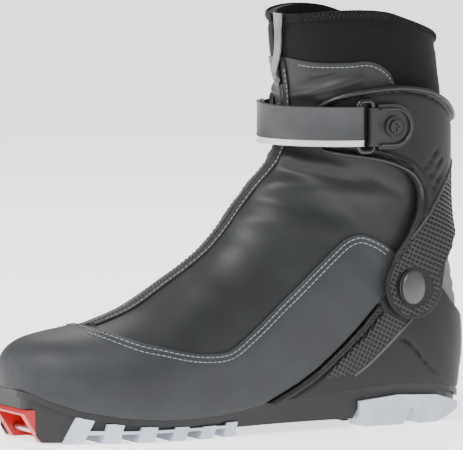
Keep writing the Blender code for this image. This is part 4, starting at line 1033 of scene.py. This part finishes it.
HATCH_CUFF = [(-142.5, 161.0), (-136.6, 158.5), (-125.8, 147.5), (-114.4, 134.0), (-104.6, 122.2),
              (-97.2, 113.8), (-91.0, 104.0), (-84.5, 96.0), (-81.8, 86.0), (-84.0, 76.0), (-92.0, 68.0),
              (-103.0, 67.0), (-112.0, 72.0), (-116.5, 80.0), (-117.0, 91.0), (-121.5, 99.0),
              (-130.5, 111.0), (-141.5, 117.5)]
HATCH_ARM = [(-122.2, 83.0), (-114.1, 76.7), (-105.8, 70.3), (-96.2, 60.6), (-84.5, 49.2), (-72.9, 38.9),
             (-63.4, 32.4), (-40.0, 31.0), (-50.0, 41.0), (-68.7, 57.0), (-80.0, 70.0),
             (-90.0, 74.0), (-100.0, 86.0)]


def circle(cx, cz, radius, start, end, count):
    angles = np.radians(np.linspace(start, end, count))
    return [(cx + radius * math.cos(a), cz + radius * math.sin(a)) for a in angles]


def make_counter():
    lobe = circle(*HINGE, 16.0, 130.0, 40.0, 13)
    outline = (COUNTER_FRONT + [(-84.0, 84.0)] + lobe[::-1] + [(-124.0, 81.0), (-130.0, 74.0), (-142.0, 64.5),
               (-170.0, 57.0), (-170.0, 0.0), (-2.0, 0.0)])
    arm = smooth(COUNTER_FRONT, 5)
    engraved = smooth([(-93.4, 53.7), (-100.3, 50.3), (-112.1, 38.4), (-120.0, 31.8)], 5)

    def keep(x, z, u, t):
        bore = np.hypot(x - HINGE[0], z - HINGE[1]) - 4.3
        return np.minimum.reduce([inside(outline, x, z), above_sole(x, z), bore])

    def outer(x, z, u, t, d):
        edge = near(arm, x, z)
        rim = 1.3 * bump_line(edge - 1.7, 1.7)
        groove = 1.5 * np.exp(-((edge - 4.4) / 0.9) ** 2) + 1.4 * np.exp(-(near(engraved, x, z) / 0.9) ** 2)
        clear = ramp(np.hypot(x - HINGE[0], z - HINGE[1]), 19.0, 24.0)
        return CUP_LIFT + (rim - groove) * clear

    panel("heel_cup", MOULD, (8.6, 23), FULL, 1.15, keep, outer, 0.5, "boot", 0.8, wrap=True,
          replaces=("heel_counter",), slot="moulded")
    hatch("heel_cup_lattice", HATCH_ARM, HATCH_ARM[1:7], 21.5, lambda x, z: np.full(x.shape, CUP_LIFT),
          "boot")


def cuff_outline():
    boss = circle(*HINGE, 19.0, 40.0, -160.0, 30)
    rear = [(-120.5, 97.0), (-129.0, 110.0), (-141.0, 116.0), (-160.0, 116.0)]
    edges = [tuple(p) for p in np.vstack([smooth(CUFF_TOP, 4)[::-1], smooth(CUFF_LOW, 4)])]
    return edges + boss + rear


ENGRAVED = [[(-118.5, 167.8), (-107.7, 155.5)], [(-122.1, 161.1), (-111.6, 150.8)],
            [(-126.0, 157.2), (-114.1, 143.6)]]


def make_cuff():
    outline = cuff_outline()
    top, low = smooth(CUFF_TOP, 4), smooth(CUFF_LOW, 4)

    def keep(x, z, u, t):
        hole = np.hypot(x - HINGE[0], z - HINGE[1]) - 4.6
        screw = np.hypot(x - SCREW[0], z - SCREW[1]) - 3.0
        return np.minimum.reduce([inside(outline, x, z), hole, screw])

    def outer(x, z, u, t, d):
        base = cuff_gap(x, z) + CUFF_WALL
        from_top, from_low = near(top, x, z), near(low, x, z)
        lip = 1.3 * bump_line(from_top - 1.6, 1.6) + 1.2 * bump_line(from_low - 1.5, 1.5)
        lip = lip - 0.7 * np.exp(-((from_top - 4.1) / 0.8) ** 2)
        lip = lip - 0.7 * np.exp(-((from_low - 3.9) / 0.7) ** 2)
        inner_line = 1.0 * bump_line(from_low - 6.0, 1.3) * (z < 172) * (z > 128)
        lines = sum(np.exp(-(near(line, x, z) / 0.45) ** 2) for line in ENGRAVED)
        return base + lip + inner_line - 1.1 * lines

    panel("cuff_moulding", MOULD, (10.6, 26), FULL, 1.15, keep, outer,
          lambda x, z, u, t, d: cuff_gap(x, z), "cuff", 0.8, wrap=True, replaces=("cuff_shell",),
          slot="moulded")
    hatch("cuff_lattice", HATCH_CUFF, HATCH_CUFF[1:6], 11.8, lambda x, z: cuff_gap(x, z) + CUFF_WALL, "cuff")
    for sign, side in ((1, "lateral"), (-1, "medial")):
        for edge, line, lift, radius in (("top", shifted(CUFF_TOP, 1.6)[2:-3], 6.3, 1.3),
                                         ("low", shifted(CUFF_LOW, -1.5)[2:-4], 6.1, 1.2)):
            ridge("cuff_%s_piping_%s" % (edge, side), line, sign, lift, radius, MOULD_SMOOTH, "cuff",
                  "moulded")

    liner = [(-50.0, 180.0), (-56.0, 198.0), (-90.0, 203.0), (-113.0, 198.0), (-134.0, 182.0),
             (-160.0, 172.0), (-160.0, 122.0), (-112.0, 122.0), (-106.0, 140.0), (-104.0, 150.0),
             (-92.0, 160.0), (-56.0, 170.0)]

    def liner_keep(x, z, u, t):
        return np.minimum(inside(liner, x, z), np.hypot(x - SCREW[0], z - SCREW[1]) - 7.0)

    made = panel("cuff_padding", LINING, (13.5, 25.5), FULL, 2.6, liner_keep, 2.3, 0.5, "cuff", 0.6,
                 wrap=True, replaces=("cuff_liner",), slot="lining_foam")


def make_pivots():
    for sign, name in ((1, "lateral"), (-1, "medial")):
        par = on_side([HINGE], sign)
        y = float(skin(par[0, 0], par[0, 1])[1])
        outward = sign * (abs(y) + CUP_LIFT + 2.4 + 1.5)
        tilt = Matrix.Rotation(math.radians(-sign * 90.0), 3, "X")
        lean = Matrix.Rotation(math.radians(sign * 19.0), 3, "Z")
        centre = Vector((HINGE[0], outward, HINGE[1]))
        profile = [(10.5, -1.6), (10.5, 0.7), (10.3, 1.1)]
        profile += [(10.1 * math.cos(a), 1.2 + 2.6 * math.sin(a))
                    for a in np.linspace(0.1, math.pi / 2 - 0.05, 11)]
        sides, points = 48, []
        for radius, lift in profile:
            for k in range(sides):
                a = 2 * math.pi * k / sides
                arm = Vector((radius * math.cos(a), radius * math.sin(a), lift))
                points.append(centre + lean @ (tilt @ arm))
        faces = loft_faces(len(profile), sides, caps=False)
        points.append(centre + lean @ (tilt @ Vector((0, 0, 3.8))))
        last = (len(profile) - 1) * sides
        faces += [[last + k, last + (k + 1) % sides, len(points) - 1] for k in range(sides)]
        faces.append(list(range(sides))[::-1])
        put("hinge_cap_" + name, points, faces, CAP_LOOK, "cuff", sharp=50, replaces=("pivot_cap_" + name,),
            slot="pivot_cap", solid=True)
        loop = [centre + lean @ (tilt @ Vector((10.9 * math.cos(a), 10.9 * math.sin(a), 0.1)))
                for a in np.linspace(0, 2 * math.pi, 49)]
        facing = lean @ (tilt @ Vector((0, 0, 1)))
        put("hinge_cap_groove_" + name, *tube_parts(loop, [facing] * 49, 0.6, 6), THREAD_DARK, "cuff",
            slot="pivot_cap")
        dress("pivot_pin_" + name, STEEL)


# --- strap
def plan_band(path, low, high, thickness, edge=0.45):
    """Upright strap with rounded edges along a plan path, thickened to its left."""
    p = np.asarray(path, float)
    tangent = np.gradient(p, axis=0)
    n = np.stack([-tangent[:, 1], tangent[:, 0]], axis=1)
    n /= np.linalg.norm(n, axis=1, keepdims=True)
    profile = [(0.0, low + edge), (0.0, high - edge), (edge * 0.3, high - edge * 0.3), (edge, high),
               (thickness - edge, high), (thickness - edge * 0.3, high - edge * 0.3),
               (thickness, high - edge),
               (thickness, low + edge), (thickness - edge * 0.3, low + edge * 0.3), (thickness - edge, low),
               (edge, low), (edge * 0.3, low + edge * 0.3)]
    points = [(*(p[k] + out * n[k]), z) for k in range(len(p)) for out, z in profile]
    return points, loft_faces(len(p), len(profile))


def strap_piece(name, look, band, body, replaces=()):
    put(name, *band, look, body, None, 40.0, replaces, "strap", solid=True)


def make_strap():
    under = plan_band(smooth(MAIN_PATH, 8), STRAP_LOW, STRAP_TOP, 1.4)
    strap_piece("strap_under", STRAP_DARK, under, "cuff", ("strap_main",))
    fold = [(RING_FRONT[0] + 3.4 * math.cos(a), RING_FRONT[1] + 3.4 * math.sin(a))
            for a in np.radians(np.linspace(105, 135, 5))]
    path = np.vstack([smooth(TAIL_PATH, 8)[::-1], fold])[::-1]
    strap_piece("strap_over", STRAP_GREY, plan_band(path, STRIPE_TOP + 0.1, STRAP_TOP, -1.2), "tail",
                ("strap_tail",))
    strap_piece("strap_stripe", STRAP_WHITE, plan_band(path, STRAP_LOW + 0.3, STRIPE_TOP, -1.2), "tail")
    dress("hook_patch", LINING)


def make_ring():
    middle, half, corner = 183.0, 15.2, 3.2
    path = []
    for x, z, start in ((RING_FRONT[0] - corner, middle + half - corner, 0.0),
                        (RING_REAR[0] + corner, middle + half - corner, 90.0),
                        (RING_REAR[0] + corner, middle - half + corner, 180.0),
                        (RING_FRONT[0] - corner, middle - half + corner, 270.0)):
        path += circle(x, z, corner, start, start + 90.0, 9)
    path = np.array([(x, RING_FRONT[1], z) for x, z in path])
    points, faces = [], []
    sides = 16
    tangent = np.roll(path, -1, axis=0) - np.roll(path, 1, axis=0)
    tangent /= np.linalg.norm(tangent, axis=1, keepdims=True)
    for k in range(len(path)):
        out = np.cross(tangent[k], (0, 1, 0))
        for a in np.linspace(0, 2 * math.pi, sides, endpoint=False):
            points.append(path[k] + RING_WIRE * (math.cos(a) * out + math.sin(a) * np.array([0, 1, 0])))
    for k in range(len(path)):
        for j in range(sides):
            a, b = k * sides + j, k * sides + (j + 1) % sides
            c, d = ((k + 1) % len(path)) * sides + (j + 1) % sides, ((k + 1) % len(path)) * sides + j
            faces.append([a, b, c, d])
    put("buckle_ring", points, faces, RING_LOOK, "ring", sharp=60, replaces=("strap_ring",), slot="ring",
        solid=True)


def make_small_parts():
    dress("strap_tab", MOULD_SMOOTH, 0.6, 3, 30)
    dress("tab_cup_washer", MOULD_SMOOTH, 0.4, 2)
    dress("tab_screw", DARK_STEEL, 0.25, 2)
    dress("tab_t_nut", STEEL)
    dress("strap_anchor_rivet", DARK_STEEL, 0.5, 3)
    dress("zip_slider", DARK_STEEL, 0.6, 3)
    dress("footbed", LINING)
    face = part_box("tab_cup_washer")[1].y / MM
    sx, sz = SCREW
    parts = []
    for radius in (5.9, 4.4):
        ring = [(sx + radius * math.cos(a), face + 0.05, sz + radius * math.sin(a))
                for a in np.linspace(0, 2 * math.pi, 40)]
        parts.append(tube_parts(ring, [(0, 1, 0)] * 40, 0.32, 6))
    for k in range(20):
        a = 2 * math.pi * k / 20
        line = [(sx + r * math.cos(a + 0.1 * (r - 4.4)), face + 0.05, sz + r * math.sin(a + 0.1 * (r - 4.4)))
                for r in (4.4, 5.1, 5.9)]
        parts.append(tube_parts(line, [(0, 1, 0)] * 3, 0.22, 5))
    put("washer_knurl", *join_parts(parts), MOULD_SMOOTH, "cuff", slot="moulded")
    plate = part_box("strap_tab")[1].y / MM + 0.1
    contour = ([(-74.5, plate, sz + 10.8)] + [(sx + 10.8 * math.cos(a), plate, sz + 10.8 * math.sin(a))
               for a in np.radians(np.linspace(90, 270, 30))] + [(-74.5, plate, sz - 10.8)])
    put("tab_contour", *tube_parts(contour, [(0, 1, 0)] * len(contour), 0.75), MOULD_SMOOTH, "cuff",
        slot="moulded")


def make_pull():
    rows, across = 24, 9
    us = np.linspace(23.75, 25.75, rows)
    base, n = front_line(us)
    points = []
    for k, f in enumerate(np.linspace(0, 1, rows)):
        half = 1.9 + 2.0 * ramp(f, 0.0, 0.3) + 1.3 * ramp(f, 0.8, 1.0)
        lean = 6.5 * ramp(f, 0.05, 0.9)
        for side, ys in ((0.4, np.linspace(-half, half, across)), (-0.4, np.linspace(half, -half, across))):
            for y in ys:
                cup = 0.07 * y * y * ramp(f, 0.2, 1.0)
                lift = 3.9 - 2.2 * ramp(f, 0.15, 1.0) + 0.5 * math.sin(f * 8.0) - cup * 0.5 + side
                points.append((base[k][0] + lift * n[k][0], y + lean, base[k][2] + lift * n[k][2]))
    put("pull_webbing", points, loft_faces(rows, 2 * across), WEBBING, "pull", sharp=60,
        replaces=("zip_pull_tape",), slot="webbing", solid=True)


# --- studio
# name, place in metres, size in metres, power in watts
LAMPS = [("key", (0.9, 0.6, 1.5), 0.7, 34.0), ("fill", (-1.3, 1.2, 0.7), 1.1, 3.0),
         ("rim", (-0.7, -1.1, 1.3), 0.8, 14.0), ("toe", (1.5, -0.3, 0.8), 0.7, 15.0)]


def make_studio():
    floor = bpy.data.meshes.new("floor")
    floor.from_pydata([(-4, -4, 0), (4, -4, 0), (4, 4, 0), (-4, 4, 0)], [], [[0, 1, 2, 3]])
    made = bpy.data.objects.new("floor", floor)
    look = Look("floor_pale", (0.93, 0.93, 0.93), 0.6)
    look.gloss(look.noise(30.0), 0.55, 0.65)
    look.shader.inputs["Emission Color"].default_value = (1.0, 1.0, 1.0, 1.0)
    look.shader.inputs["Emission Strength"].default_value = 1.6
    floor.materials.append(look.made)
    bpy.context.scene.collection.objects.link(made)
    made.location.z = -0.0005
    world = bpy.data.worlds.new("studio")
    world.use_nodes = True
    world.node_tree.nodes["Background"].inputs["Color"].default_value = (1.0, 1.0, 1.0, 1.0)
    world.node_tree.nodes["Background"].inputs["Strength"].default_value = 0.55
    bpy.context.scene.world = world
    for name, spot, size, power in LAMPS:
        data = bpy.data.lights.new(name, "AREA")
        data.size = size
        data.energy = power
        lamp = bpy.data.objects.new(name, data)
        lamp.location = spot
        lamp.rotation_euler = (Vector((0, 0, 0.1)) - Vector(spot)).to_track_quat("-Z", "Y").to_euler()
        bpy.context.scene.collection.objects.link(lamp)


# --- build
dress("outsole_chassis", SOLE, 0.5)
dress("shank_plate", SOLE)
for one in ("forefoot_tread_lateral", "forefoot_tread_medial", "heel_tread_lateral", "heel_tread_medial"):
    dress(one, TREAD, 0.8, 3)
dress("toe_bar_housing", RED, 0.7, 3)
dress("toe_bar", STEEL, 0.2)
dress("lasting_board", BOARD)
dress("toe_puff", BOARD)
make_toe_wrap()
make_softshell(1, "gaiter_lateral", SHELL, "softshell_lateral")
# the medial gaiter gets the lighter softshell colour, a painted highlight
make_softshell(-1, "gaiter_medial", SHELL_PAINTED_HIGHLIGHT, "softshell_medial")
make_gaiter_seams()
make_achilles()
make_lining()
make_tongue()
make_collar()
make_zip()
make_counter()
make_cuff()
make_pivots()
make_strap()
make_ring()
make_small_parts()
make_pull()
make_studio()
